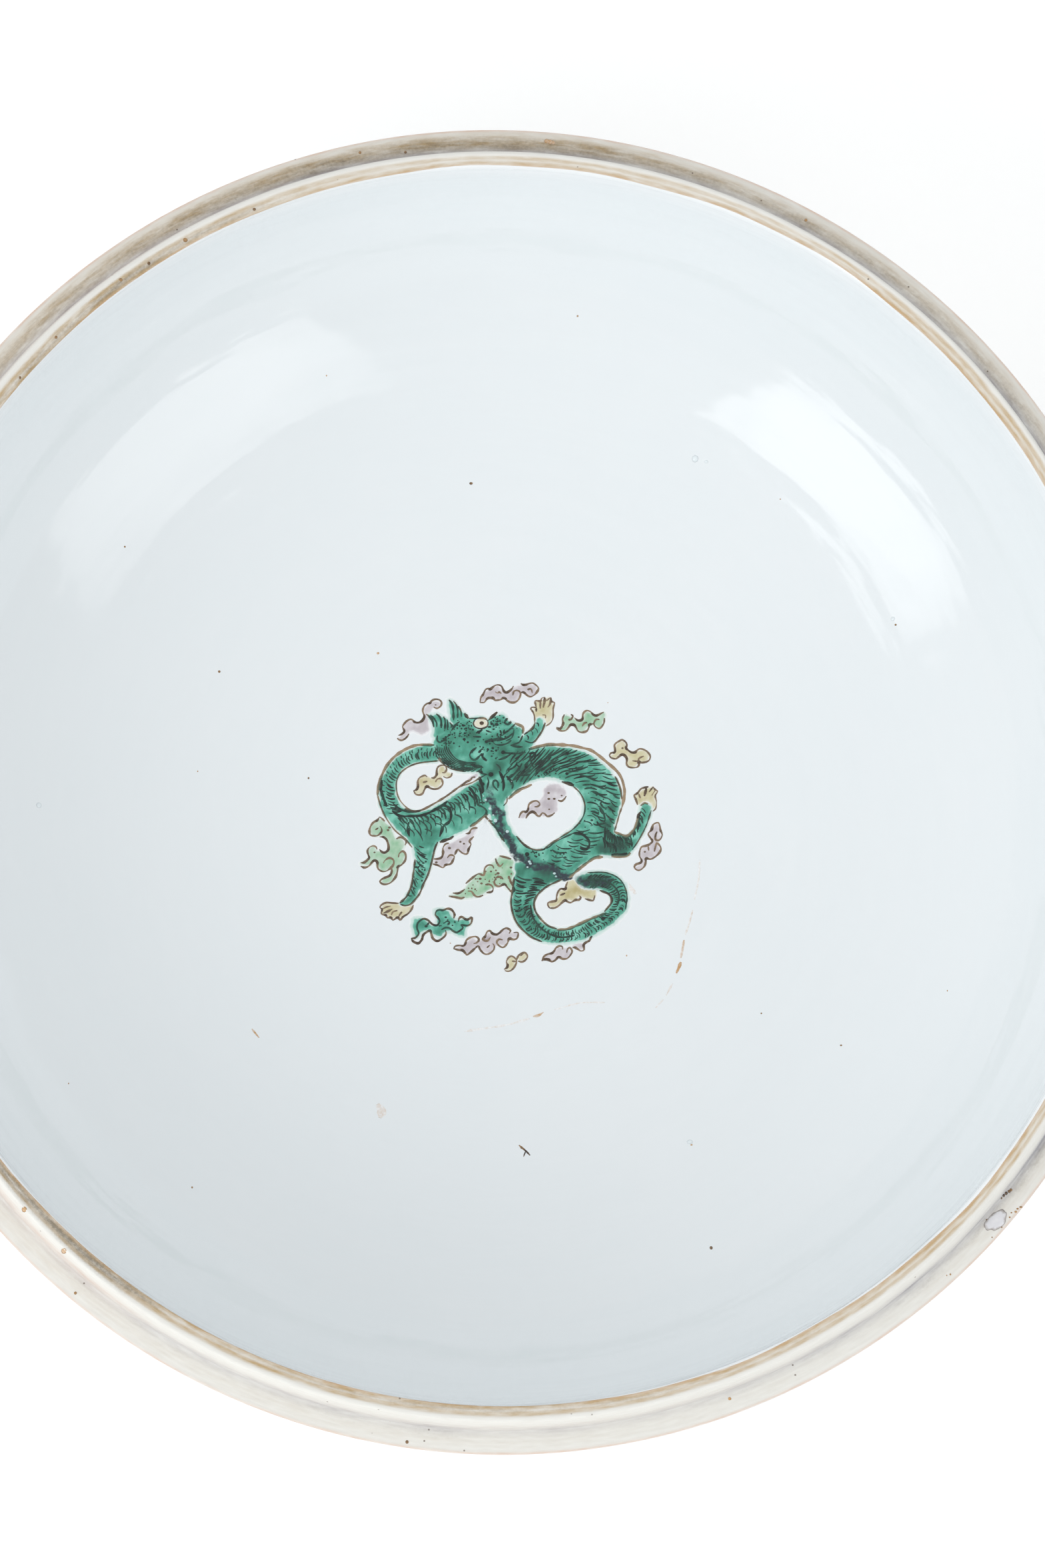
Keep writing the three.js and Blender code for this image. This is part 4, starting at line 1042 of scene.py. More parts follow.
def hatch_lines():
    """Short curved lines across the dragon's bands, and its beard. At each station a line runs from one
    share of the band's width to another, leaning and bowing along the band, with its place, reach and ink
    varied by a seeded chance. The beard's hairs run along its band."""
    chance = np.random.default_rng(7)
    lines = []
    stations, share = np.linspace(0, 1, 200), np.linspace(0, 1, 9)
    for *edges, rows in HATCHING:
        near, far = (smooth(drawn(numbers)) for numbers in edges)
        length_along = np.hypot(*np.diff(near, axis=0).T).sum()
        near, far = places_on(near, stations), places_on(far, stations)
        for start, end, spacing, lean, bow, width, load in rows:
            count = int(length_along / spacing)
            for place in (np.arange(count) + 0.5 + chance.uniform(-0.25, 0.25, count)) / count:
                low = start + chance.uniform(-0.05, 0.05)
                high = low + (end - start) * chance.uniform(0.55, 1.15)
                across = np.linspace(low, min(high, 0.94), len(share))[:, None]
                shift = lean * share + bow * np.sin(math.pi * share) * chance.uniform(0.4, 1.4)
                at = np.clip(place + shift / length_along, 0, 1)
                line = smooth(places_on(near, at) * (1 - across) + places_on(far, at) * across, step=0.2)
                thickness = width * chance.uniform(0.7, 1.25)
                lines.append(brush_line(line, thickness, load * chance.uniform(0.7, 1.15)))
    steps = 59
    near, far = (places_on(smooth(drawn(numbers)), np.linspace(0, 1, steps + 1)) for numbers in BEARD)
    for across in np.linspace(0.05, 0.95, 8):
        begin, finish = chance.uniform(0, 0.15), chance.uniform(0.7, 1.0)
        hair = (near * (1 - across) + far * across)[int(begin * steps) : int(finish * steps)]
        lines.append(brush_line(smooth(hair), 0.3, 0.8))
    return lines


def face_dots():
    """Dots of ink over the dragon's face, thicker toward the brow, and a few along its back, seeded."""
    chance = np.random.default_rng(19)
    spots = []
    for centre_x, centre_y, spread_x, spread_y, count in DOT_CLUSTERS:
        place = chance.normal([centre_x, centre_y], [spread_x * 0.6, spread_y * 0.6], (count, 2))
        size = chance.uniform(0.10, 0.24, count)
        stretch = chance.uniform(0.8, 1.4, count)
        load = chance.uniform(0.6, 1.0, count)
        spots.append(np.column_stack([place, size * stretch, size, 0 * size + 0.03, load]))
    size = FACE_DOTS[:, 2]
    spots.append(np.column_stack([FACE_DOTS[:, :2], 1.15 * size, size, 0 * size + 0.03, 0 * size + 1]))
    spots = np.vstack(spots)
    edges = painted_field().edges
    wet = np.minimum(edges["green"], edges["pale_green"])
    return spots[on_field(wet, spots[:, 0], spots[:, 1]) < -0.3]


# What firing and use left on the bowl's glaze: iron specks as x, y, radius, darkness; raised pimples and
# white flecks as x, y, radius; and hair-thin stains as a width, a darkness and x, y pairs in tenths
IRON_SPECKS = np.array([
    [39.7, -86.6, 0.5, 0.95], [37.6, -66, 0.22, 0.5], [4.4, -65.4, 0.34, 0.95], [-1.4, 67.8, 0.36, 0.95],
    [-52.6, 30.8, 0.34, 0.9], [-35.4, 9.3, 0.28, 0.9], [81.8, 35.7, 0.3, 0.9], [26.7, -27.8, 0.24, 0.5],
    [-57.3, 10.9, 0.2, 0.7], [-70.6, 54.6, 0.26, 0.8], [67.6, -47.5, 0.24, 0.9], [52.7, -40.3, 0.22, 0.9],
    [-20.9, 34.2, 0.34, 0.45], [-83.2, -51.6, 0.25, 0.7], [-60, -72, 0.3, 0.8], [60, 62, 0.2, 0.7], [-96, 20,
    0.3, 0.6], [20, 98, 0.2, 0.7], [-30, 88, 0.2, 0.6], [88, -38, 0.24, 0.7], [-8.2, -24.4, 0.14, 0.6],
    [24.8, 23.2, 0.12, 0.5]])
PIMPLES = np.array([
    [43.4, 70.9, 0.75], [81.3, 36.9, 0.45], [37.3, -65.4, 0.5], [-88.3, 3.5, 0.6], [45.6, 70.2, 0.35]])
FLECKS = np.array([
    [0.5, 2.35, 0.34], [1.5, -0.1, 0.46], [3.8, -2.35, 0.36], [-0.3, 4.1, 0.24], [8, -8.5, 0.28], [8.2, -8.9,
    0.26], [12.9, -11, 0.26], [5, 7.7, 0.12], [1.1, 1, 0.2], [7.6, -9.6, 0.2], [-0.7, 4.9, 0.16], [13.2,
    -11.6, 0.2]])
STAINS = (
    (0.4, 0.06, [420, -90, 416, -130, 406, -170]), (0.4, 0.12, [402, -190, 394, -216, 385, -240]), (0.55,
    0.26, [382, -250, 378, -270, 374, -286]), (0.7, 0.45, [374, -294, 369, -306, 364, -316]), (0.4, 0.12,
    [356, -336, 342, -360]), (0.35, 0.1, [336, -368, 320, -384]), (0.5, 0.32, [77, -394, 88, -392, 98,
    -386]), (0.3, 0.05, [120, -382, 170, -370, 220, -370]), (1.1, 0.1, [270, -130, 280, -142, 290, -155]),
    (1.6, 0.1, [-236, -560, -228, -574, -232, -588]), (0.45, 0.4, [-478, -406, -464, -424]), (0.4, 0.9, [39,
    -649, 52, -661, 60, -670]), (0.34, 0.85, [52, -661, 47, -672]), (0.5, 0.06, [-60, -420, 20, -410, 70,
    -398]))
# On the bare rim: specks as degrees round, radius, size and darkness
RIM_SPECKS = np.array([
    [84, 123, 0.5, 0.4], [84.3, 123.1, 0.45, 0.44], [83.7, 122.9, 0.4, 0.4], [-41, 121.2, 0.3, 0.8], [-41.2,
    121.1, 0.32, 0.9], [-41.5, 120.9, 0.34, 0.95], [-41.8, 120.8, 0.3, 0.95], [-42.1, 120.8, 0.2, 0.9],
    [-41.6, 124.6, 0.2, 0.7], [-41.9, 124.3, 0.17, 0.7], [-42.2, 124.4, 0.2, 0.6], [-42.5, 123.9, 0.15, 0.7],
    [-42.9, 124.2, 0.16, 0.65], [-34.9, 123.2, 0.2, 0.8], [-34.2, 124.1, 0.22, 0.6], [-45.2, 124.2, 0.15,
    0.7], [-44, 124.3, 0.15, 0.7], [-44.4, 121.3, 0.16, 0.85], [-50, 123.6, 0.2, 0.6], [-50.3, 123.3, 0.14,
    0.6], [-29.5, 117.5, 0.42, 0.85], [-139, 119, 0.5, 0.5], [-134, 119.2, 0.5, 0.46], [-131, 123.5, 0.3,
    0.7], [-100, 123.8, 0.34, 0.8], [-72, 122, 0.3, 0.5], [112, 117, 0.28, 0.85], [119, 117.4, 0.4, 0.7],
    [123, 117.2, 0.34, 0.8], [126, 117.6, 0.3, 0.7], [134, 117.2, 0.3, 0.8], [139, 116.9, 0.28, 0.85], [60,
    122.6, 0.3, 0.6], [97, 121.6, 0.28, 0.8], [101, 123, 0.3, 0.7]])
FILL_AT = (-43.9, 122.7)  # where the chip in the rim was filled: degrees round and radius


def bowl_surface(x, y):
    """Height of the bowl's glaze, mm."""
    return bowl_height(in_mm(bpy.context.scene.porcelain_form), x, y)


def rim_surface(x, y):
    """Height of ledge and flange, mm: the profile from the outer edge in to the glaze line, by radius."""
    profile = base_layout(in_mm(bpy.context.scene.porcelain_form))[0]
    on_rim = (profile.along > profile.end["outside"]) & (profile.along < profile.end["flange"] + 0.5)
    rim = profile.points[on_rim][::-1]
    return np.interp(np.hypot(x, y), rim[:, 0], rim[:, 1])


def specks_at(x, y, radius, darkness, rise):
    """Rows for lay_dots, a little longer one way than the other."""
    stretch = 1 + 0.25 * uneven(x, y, 5, 91)
    return np.column_stack([x, y, radius * stretch, radius, 0 * x + rise, 0 * x + darkness])


def build_fill(material):
    """The filled chip as a low mound on the ledge: height 0.24 (1 - u^6) over an outline that wavers round
    it, sunk by 0.02, closed underneath, with u the share of the way out."""
    sides, sunk = 40, 0.02
    steps, around = np.linspace(0, 1, 9)[1:], np.arange(sides) * 2 * math.pi / sides
    outline = 1 + 0.10 * np.sin(2 * around + 0.6) + 0.07 * np.sin(3 * around + 2) + 0.04 * np.sin(7 * around)
    u = steps[:, None]
    azimuth, radius = math.radians(FILL_AT[0]), FILL_AT[1]
    out, beside = u * outline * np.cos(around) * 1.4, u * outline * np.sin(around) * 2.6
    middle = np.array([math.cos(azimuth), math.sin(azimuth)]) * radius
    x = middle[0] + out * math.cos(azimuth) - beside * math.sin(azimuth)
    y = middle[1] + out * math.sin(azimuth) + beside * math.cos(azimuth)
    top = rim_surface(x, y) + 0.24 * (1 - u**6) - sunk
    grid = np.stack([x + BASE_AXIS, y, top], -1)
    crown, base = ([middle[0] + BASE_AXIS, middle[1], rim_surface(*middle) + z] for z in (0.24 - sunk, -0.4))
    points = np.vstack([[crown], grid.reshape(-1, 3), [base]])
    number = 1 + np.arange(grid.shape[0] * sides).reshape(-1, sides)
    quads, beside = ring_quads(number)
    cap = np.stack([np.zeros(sides, int), number[0], beside[0]], -1)
    under = np.stack([np.full(sides, len(points) - 1), beside[-1], number[-1]], -1)
    fields = {"near_edge": np.concatenate([[0], np.repeat(steps, sides), [1]])}
    new_piece("chip_fill", points, [quads, cap, under], "base", [material], fields)


def add_node(tree, kind, sockets=None, out=0, **settings):
    """Adds one shader node with its settings, gives its sockets values or links, and returns one output."""
    node = tree.nodes.new("ShaderNode" + kind)
    for setting, value in settings.items():
        setattr(node, setting, value)
    for socket, value in (sockets or {}).items():
        if isinstance(value, bpy.types.NodeSocket):
            tree.links.new(value, node.inputs[socket])
        else:
            node.inputs[socket].default_value = value
    return None if out is None else node.outputs[out]


BLEND = {"out": 2, "data_type": "RGBA"}  # settings of a Mix node that blends two colours


def new_material(name, *fields):
    """An empty node material, the function that adds a node to it, the piece's own coordinates, and the
    values of the named fields that the piece's points carry."""
    material = bpy.data.materials.new(name)
    material.use_nodes = True
    material.node_tree.nodes.clear()
    add = functools.partial(add_node, material.node_tree)
    values = [add("Attribute", attribute_name=field, out="Fac") for field in fields]
    return material, add, add("TexCoord", out="Object"), *values


def finished(material, shader):
    """The material, with the shader as what it shows."""
    add_node(material.node_tree, "OutputMaterial", {"Surface": shader}, out=None)
    return material


def per(millimetres):
    """Texture scale that makes one feature about that many millimetres wide."""
    return 1 / (millimetres * MM)


def porcelain_glaze(finish):
    """Clear feldspathic glaze fired over white porcelain. It gives the eye a cool near-white, a hard wet
    shine broken by a fine orange peel, faint turning rings and a few iron specks."""
    material, add, where, thick = new_material("porcelain_glaze", "thick")
    wheel = add("Attribute", attribute_name="wheel", out="Vector")
    drift = add("TexNoise", {"Vector": where, "Scale": per(38), "Detail": 2.0}, out="Fac")
    rings = add("TexNoise", {"Vector": wheel, "Scale": per(3.6), "Detail": 1.4}, out="Fac")
    amount = add("Math", {0: drift, 1: 0.45, 2: -0.1}, operation="MULTIPLY_ADD")
    amount = add("Math", {0: thick, 1: amount}, operation="ADD")
    amount = add("Math", {0: rings, 1: 0.22, 2: amount}, operation="MULTIPLY_ADD", use_clamp=True)
    body = add("Mix", {0: amount, 6: tuple(finish.glaze), 7: tuple(finish.glaze_blue)}, **BLEND)
    cells = add("TexVoronoi", {"Vector": where, "Scale": per(11)}, out="Distance")
    speck = add("MapRange", {0: cells, 1: 0.014, 2: 0.024, 3: 0.75, 4: 0.0})
    pick = add("TexVoronoi", {"Vector": where, "Scale": per(11)}, out="Color")
    chosen = add("Math", {0: pick, 1: 0.78}, operation="GREATER_THAN")
    speck = add("Math", {0: speck, 1: chosen}, operation="MULTIPLY")
    body = add("Mix", {0: speck, 6: body, 7: linear("#8B8478")}, **BLEND)
    peel = add("TexNoise", {"Vector": where, "Scale": per(1.3), "Detail": 2.0}, out="Fac")
    swell = add("TexNoise", {"Vector": where, "Scale": per(14), "Detail": 1.0}, out="Fac")
    normal = add("Bump", {"Height": swell, "Distance": 0.0003}, out="Normal")
    normal = add("Bump", {"Height": rings, "Distance": 0.00016, "Normal": normal}, out="Normal")
    normal = add("Bump", {"Height": peel, "Distance": 0.000003, "Normal": normal}, out="Normal")
    rough = add("MapRange", {0: drift, 1: 0.3, 2: 0.7, 3: 0.07, 4: 0.13})
    shader = add("BsdfPrincipled", {"Base Color": body, "Roughness": rough, "IOR": 1.58, "Normal": normal})
    return finished(material, shader)


def biscuit(finish):
    """Unglazed porcelain body on the rim and foot. It is matt, warm grey-white, turned in fine lines, burnt
    tan beside the glaze, and has taken old dirt where cover and flange rub. A grey mixed in at the foot of
    the flange is painted shade as well as dirt."""
    material, add, where, grime, lavender, tan, rust = new_material(
        "biscuit_body", "grime", "lavender", "tan", "rust")
    wheel = add("Attribute", attribute_name="wheel", out="Vector")
    grain = add("TexNoise", {"Vector": where, "Scale": per(0.6), "Detail": 4.0, "Roughness": 0.7}, out="Fac")
    blotch = add("TexNoise", {"Vector": wheel, "Scale": per(1.3), "Detail": 4, "Roughness": 0.7}, out="Fac")
    lines = add("TexNoise", {"Vector": wheel, "Scale": per(0.55), "Detail": 2.0}, out="Fac")
    colour_now = add("Mix", {0: lines, 6: tuple(finish.biscuit), 7: linear("#DCDAD4")}, **BLEND)
    streak = add("MapRange", {0: lines, 1: 0.35, 2: 0.65, 3: 0.8, 4: 1.12}, clamp=False)
    patch = add("MapRange", {0: blotch, 1: 0.36, 2: 0.64, 3: 0.6, 4: 1.15}, clamp=False)
    # The first grey mixed in here is painted shade at the flange's foot as well as dirt.
    for field, tone in ((lavender, finish.lavender), (tan, finish.tan), (rust, finish.rust)):
        amount = add("Math", {0: field, 1: patch}, operation="MULTIPLY")
        amount = add("Math", {0: amount, 1: streak}, operation="MULTIPLY", use_clamp=True)
        colour_now = add("Mix", {0: amount, 6: colour_now, 7: tuple(tone)}, **BLEND)
    level = add("Math", {0: grime, 1: patch}, operation="MULTIPLY")
    level = add("Math", {0: level, 1: grain}, operation="MULTIPLY")
    dirty = add("MapRange", {0: level, 1: 0.08, 2: 0.5, 3: 0.0, 4: 0.75})
    colour_now = add("Mix", {0: dirty, 6: colour_now, 7: tuple(finish.grime)}, **BLEND)
    specks = add("TexVoronoi", {"Vector": where, "Scale": per(1.9)}, out="Distance")
    chance = add("TexVoronoi", {"Vector": where, "Scale": per(1.9)}, out="Color")
    picked = add("Math", {0: chance, 1: 0.80}, operation="GREATER_THAN")
    dot = add("MapRange", {0: specks, 1: 0.06, 2: 0.12, 3: 0.8, 4: 0.0})
    dot = add("Math", {0: dot, 1: picked}, operation="MULTIPLY")
    colour_now = add("Mix", {0: dot, 6: colour_now, 7: linear("#5C4A3B")}, **BLEND)
    normal = add("Bump", {"Height": lines, "Distance": 0.00003}, out="Normal")
    normal = add("Bump", {"Height": grain, "Distance": 0.00002, "Normal": normal}, out="Normal")
    looks = {"Base Color": colour_now, "Roughness": 0.62, "IOR": 1.45, "Normal": normal}
    return finished(material, add("BsdfPrincipled", looks))


def enamel(name, tones, bleed):
    """Lead enamel fired over the glaze, from three tones: thin, even and pooled. It is glassy and
    translucent, so it fades to the white glaze at its edge, darkens where it pools and shimmers in small
    brush marks. Where the kiln flaw crosses it, it has boiled and burnt blue-black."""
    thin, even, pooled_tone = tones
    material, add, where, inward, pool, flaw = new_material(name, "inward", "pool", "flaw")
    fine = add("TexNoise", {"Vector": where, "Scale": per(0.55), "Detail": 3, "Roughness": 0.65}, out="Fac")
    broad = add("TexNoise", {"Vector": where, "Scale": per(2.4), "Detail": 3.0}, out="Fac")
    level = add("Math", {0: broad, 1: 1.1, 2: -0.55}, operation="MULTIPLY_ADD")
    level = add("Math", {0: level, 1: pool}, operation="ADD")
    level = add("Math", {0: fine, 1: 0.5, 2: level}, operation="MULTIPLY_ADD")
    deeper = add("MapRange", {0: level, 1: 0.25, 2: 1.2, 3: 0.0, 4: 1.0})
    thinner = add("MapRange", {0: level, 1: 0.25, 2: -0.45, 3: 0.0, 4: 1.0})
    tone = add("Mix", {0: deeper, 6: even, 7: pooled_tone}, **BLEND)
    tone = add("Mix", {0: thinner, 6: tone, 7: thin}, **BLEND)
    deepest = add("MapRange", {0: level, 1: 1.3, 2: 2.7, 3: 0.0, 4: 0.85})
    tone = add("Mix", {0: deepest, 6: tone, 7: linear("#0F332F")}, **BLEND)
    edge = add("MapRange", {0: inward, 1: -0.05, 2: 0.75, 3: 0.7, 4: 0.0})
    tone = add("Mix", {0: edge, 6: tone, 7: thin}, **BLEND)
    ran = add("MapRange", {0: inward, 1: -bleed, 2: 0.0, 3: 0.0, 4: 0.4}, interpolation_type="SMOOTHSTEP")
    fade = add("MapRange", {0: inward, 1: -0.1, 2: 0.3, 3: 0.0, 4: 1.0}, interpolation_type="SMOOTHSTEP")
    fade = add("Math", {0: fade, 1: ran}, operation="MAXIMUM")
    white = tuple(bpy.context.scene.porcelain_finish.glaze)
    tone = add("Mix", {0: fade, 6: white, 7: tone}, **BLEND)
    boil = add("TexNoise", {"Vector": where, "Scale": per(0.9), "Detail": 4.0, "Roughness": 0.7}, out="Fac")
    boil = add("MapRange", {0: boil, 1: 0.36, 2: 0.56, 3: 0.5, 4: 1.3}, clamp=False)
    burnt = add("Math", {0: flaw, 1: boil}, operation="MULTIPLY", use_clamp=True)
    tone = add("Mix", {0: burnt, 6: tone, 7: linear("#1B2C36")}, **BLEND)
    rough = add("MapRange", {0: burnt, 1: 0.0, 2: 1.0, 3: 0.10, 4: 0.32})
    normal = add("Bump", {"Height": fine, "Distance": 0.000012}, out="Normal")
    shader = add("BsdfPrincipled", {"Base Color": tone, "Roughness": rough, "IOR": 1.6, "Normal": normal})
    return finished(material, shader)


def ink(finish):
    """Brown-black line enamel. Loaded, it is nearly black, dry it is a thin tan, and under the green it
    shows as a deeper green."""
    material, add, where, load, under = new_material("black_line_enamel", "load", "under")
    grain = add("TexNoise", {"Vector": where, "Scale": per(0.3), "Detail": 2.0}, out="Fac")
    level = add("Math", {0: grain, 1: 0.7, 2: -0.35}, operation="MULTIPLY_ADD")
    level = add("Math", {0: level, 1: load}, operation="ADD", use_clamp=True)
    on_white = add("Mix", {0: level, 6: tuple(finish.dry_ink), 7: tuple(finish.ink)}, **BLEND)
    on_green = add("Mix", {0: level, 6: linear("#2C6452"), 7: linear("#10211C")}, **BLEND)
    tone = add("Mix", {0: under, 6: on_white, 7: on_green}, **BLEND)
    return finished(material, add("BsdfPrincipled", {"Base Color": tone, "Roughness": 0.28, "IOR": 1.5}))


def iron_stain(finish):
    """Iron under the glaze or in the bare body: a pale tan where there is little of it, brown-black where a
    grain of it has melted."""
    material, add, where, load = new_material("iron_stain", "load")
    mottle = add("TexNoise", {"Vector": where, "Scale": per(0.5), "Detail": 3.0}, out="Fac")
    level = add("Math", {0: mottle, 1: 0.5, 2: -0.25}, operation="MULTIPLY_ADD")
    level = add("Math", {0: level, 1: load}, operation="ADD")
    little = add("MapRange", {0: level, 1: 0.0, 2: 0.5})
    much = add("MapRange", {0: level, 1: 0.5, 2: 1.0})
    tone = add("Mix", {0: little, 6: tuple(finish.glaze), 7: linear("#C49A68")}, **BLEND)
    tone = add("Mix", {0: much, 6: tone, 7: linear("#40322A")}, **BLEND)
    return finished(material, add("BsdfPrincipled", {"Base Color": tone, "Roughness": 0.25, "IOR": 1.5}))


def bare_fleck():
    """Spots where the enamel has boiled off and the white glaze shows, a little frosted."""
    material, add, where = new_material("bare_fleck")
    mottle = add("TexNoise", {"Vector": where, "Scale": per(0.4), "Detail": 2.0}, out="Fac")
    tone = add("Mix", {0: mottle, 6: linear("#E2ECEE"), 7: linear("#86BDB9")}, **BLEND)
    return finished(material, add("BsdfPrincipled", {"Base Color": tone, "Roughness": 0.2, "IOR": 1.5}))


def white_filler():
    """Hard white filler in the chip, a little greyer than the body, with old dirt round its edge."""
    material, add, where, near_edge = new_material("white_filler", "near_edge")
    mottle = add("TexNoise", {"Vector": where, "Scale": per(1.1), "Detail": 3.0}, out="Fac")
    tone = add("Mix", {0: mottle, 6: linear("#E4E4E6"), 7: linear("#CFCFD4")}, **BLEND)
    border = add("Math", {0: mottle, 1: 0.5, 2: near_edge}, operation="MULTIPLY_ADD")
    border = add("MapRange", {0: border, 1: 1.0, 2: 1.2, 3: 0.0, 4: 0.6})
    tone = add("Mix", {0: border, 6: tone, 7: linear("#857868")}, **BLEND)
    normal = add("Bump", {"Height": mottle, "Distance": 0.00005}, out="Normal")
    looks = {"Base Color": tone, "Roughness": 0.5, "Normal": normal}
    return finished(material, add("BsdfPrincipled", looks))


def white_table():
    """Matt white acrylic table top, lit a little from below. It gives the eye a plain pale ground."""
    material, add, where = new_material("white_table_top")
    cloud = add("TexNoise", {"Vector": where, "Scale": per(160), "Detail": 2.0}, out="Fac")
    tone = add("Mix", {0: cloud, 6: linear("#F7F7F6"), 7: linear("#FAFAF9")}, **BLEND)
    stage = bpy.context.scene.porcelain_stage
    glow = {"Emission Color": linear("#FFFFFF"), "Emission Strength": stage.floor_glow}
    return finished(material, add("BsdfPrincipled", {"Base Color": tone, "Roughness": 0.7, **glow}))


def softbox(name, azimuth, elevation, distance, width, height, radiance, lamp_at):
    """An area light, seen from the base's rim at that azimuth and elevation in degrees, facing it. Its cloth
    is brightest where its lamp stands behind it, as shares of width and height, and fades from there."""
    azimuth, elevation = math.radians(azimuth), math.radians(elevation)
    light = bpy.data.lights.new(name, "AREA")
    light.shape, light.size, light.size_y = "RECTANGLE", width, height
    light.energy = radiance * math.pi * width * height
    light.use_nodes = True
    add = functools.partial(add_node, light.node_tree)
    across = add("NewGeometry", out="Parametric")
    offset = add("VectorMath", {0: across, 1: (-lamp_at[0], -lamp_at[1], 0)}, operation="ADD")
    reach = add("VectorMath", {0: offset}, out="Value", operation="LENGTH")
    glow = add("MapRange", {0: reach, 1: 0.2, 2: 0.75, 3: 1.25, 4: 0.45}, interpolation_type="SMOOTHSTEP")
    light.node_tree.links.new(glow, light.node_tree.nodes["Emission"].inputs["Strength"])
    lamp = bpy.data.objects.new(name, light)
    flat = math.cos(elevation)
    way = Vector((flat * math.cos(azimuth), flat * math.sin(azimuth), math.sin(elevation)))
    lamp.location = mouth() + way * distance
    lamp.rotation_euler = (-way).to_track_quat("-Z", "Y").to_euler()
    bpy.context.scene.collection.objects.link(lamp)


class PORCELAIN_OT_base(bpy.types.Operator):
    """Builds the glazed base with its bare ledge and flange"""

    bl_idname = "porcelain.base"
    bl_label = "Base"

    def execute(self, context):
        form, finish = in_mm(context.scene.porcelain_form), context.scene.porcelain_finish
        build_base(form, [porcelain_glaze(finish), biscuit(finish)])
        return {"FINISHED"}


class PORCELAIN_OT_cover(bpy.types.Operator):
    """Builds the domed cover on its bare rim"""

    bl_idname = "porcelain.cover"
    bl_label = "Cover"

    def execute(self, context):
        materials = [bpy.data.materials["porcelain_glaze"], bpy.data.materials["biscuit_body"]]
        build_cover(in_mm(context.scene.porcelain_form), materials)
        return {"FINISHED"}


class PORCELAIN_OT_enamels(bpy.types.Operator):
    """Lays the four enamels of the medallion on the bowl's floor"""

    bl_idname = "porcelain.enamels"
    bl_label = "Enamels"

    def execute(self, context):
        finish = context.scene.porcelain_finish
        for key in WASHES:
            tones = [tuple(getattr(finish, f"{key}_{tone}")) for tone in ("thin", "even", "pooled")]
            name = "dragon_green" if key == "green" else f"cloud_{key}"
            build_film(key, name, enamel(f"{key}_enamel", tones, BLEED[key]))
        return {"FINISHED"}


class PORCELAIN_OT_lines(bpy.types.Operator):
    """Draws the medallion's brush lines: clouds, dragon, scale hatching, eye and dots"""

    bl_idname = "porcelain.lines"
    bl_label = "Brush lines"

    def execute(self, context):
        material = ink(context.scene.porcelain_finish)
        clouds = [brush_line(smooth(drawn(numbers)), *PLAIN) for numbers in CLOUD_LINES]
        lay_lines("cloud_lines", clouds, paint_height, material)
        dragon = [brush_line(smooth(drawn(EYE_RING + EYE_RING[:4])), 0.42, 1.0)]
        for kind, lines in DRAGON_LINES.items():
            dragon += [brush_line(smooth(drawn(numbers)), *kind) for numbers in lines]
        lay_lines("dragon_lines", dragon, paint_height, material)
        lay_lines("scale_hatching", hatch_lines(), paint_height, material, rise=0.02)
        cloud = drawn(CLOUD_DOTS)
        size = 0.22 + 0.05 * uneven(cloud[:, 0], cloud[:, 1], 2, 81)
        drops = np.column_stack([cloud, size * 1.3, size, 0 * size + 0.03, 0 * size + 0.85])
        pupil = [[-0.6, 19.6, 0.5, 0.44, 0.03, 1.0]]
        lay_dots("brush_dots", np.vstack([face_dots(), drops, pupil]), paint_height, material)
        return {"FINISHED"}


class PORCELAIN_OT_marks(bpy.types.Operator):
    """Adds what firing and use left: iron specks, stains, pimples, white flecks and the filled chip"""

    bl_idname = "porcelain.marks"
    bl_label = "Marks of firing and use"

    def execute(self, context):
        iron, glaze = iron_stain(context.scene.porcelain_finish), bpy.data.materials["porcelain_glaze"]
        x, y, radius, darkness = IRON_SPECKS.T
        specks = specks_at(x, y, 0.85 * radius, 0.9 * darkness, 0.03)
        lay_dots("iron_specks", specks, bowl_surface, iron)
        x, y, radius = PIMPLES.T
        pimples = specks_at(x, y, radius, 0, 0.3 * radius)
        lay_dots("glaze_pimples", pimples, bowl_surface, glaze)
        x, y, radius = FLECKS.T
        flecks = specks_at(x, y, radius, 0, 0.05)
        lay_dots("white_flecks", flecks, paint_height, bare_fleck())
        turn, radius = np.radians(RIM_SPECKS[:, 0]), RIM_SPECKS[:, 1]
        x, y = radius * np.cos(turn), radius * np.sin(turn)
        rim = specks_at(x, y, RIM_SPECKS[:, 2], RIM_SPECKS[:, 3], 0.04)
        lay_dots("rim_specks", rim, rim_surface, iron)
        stains = [brush_line(smooth(drawn(numbers)), width, load) for width, load, numbers in STAINS]
        lay_lines("glaze_stains", stains, bowl_surface, iron, rise=0.006)
        build_fill(white_filler())
        return {"FINISHED"}


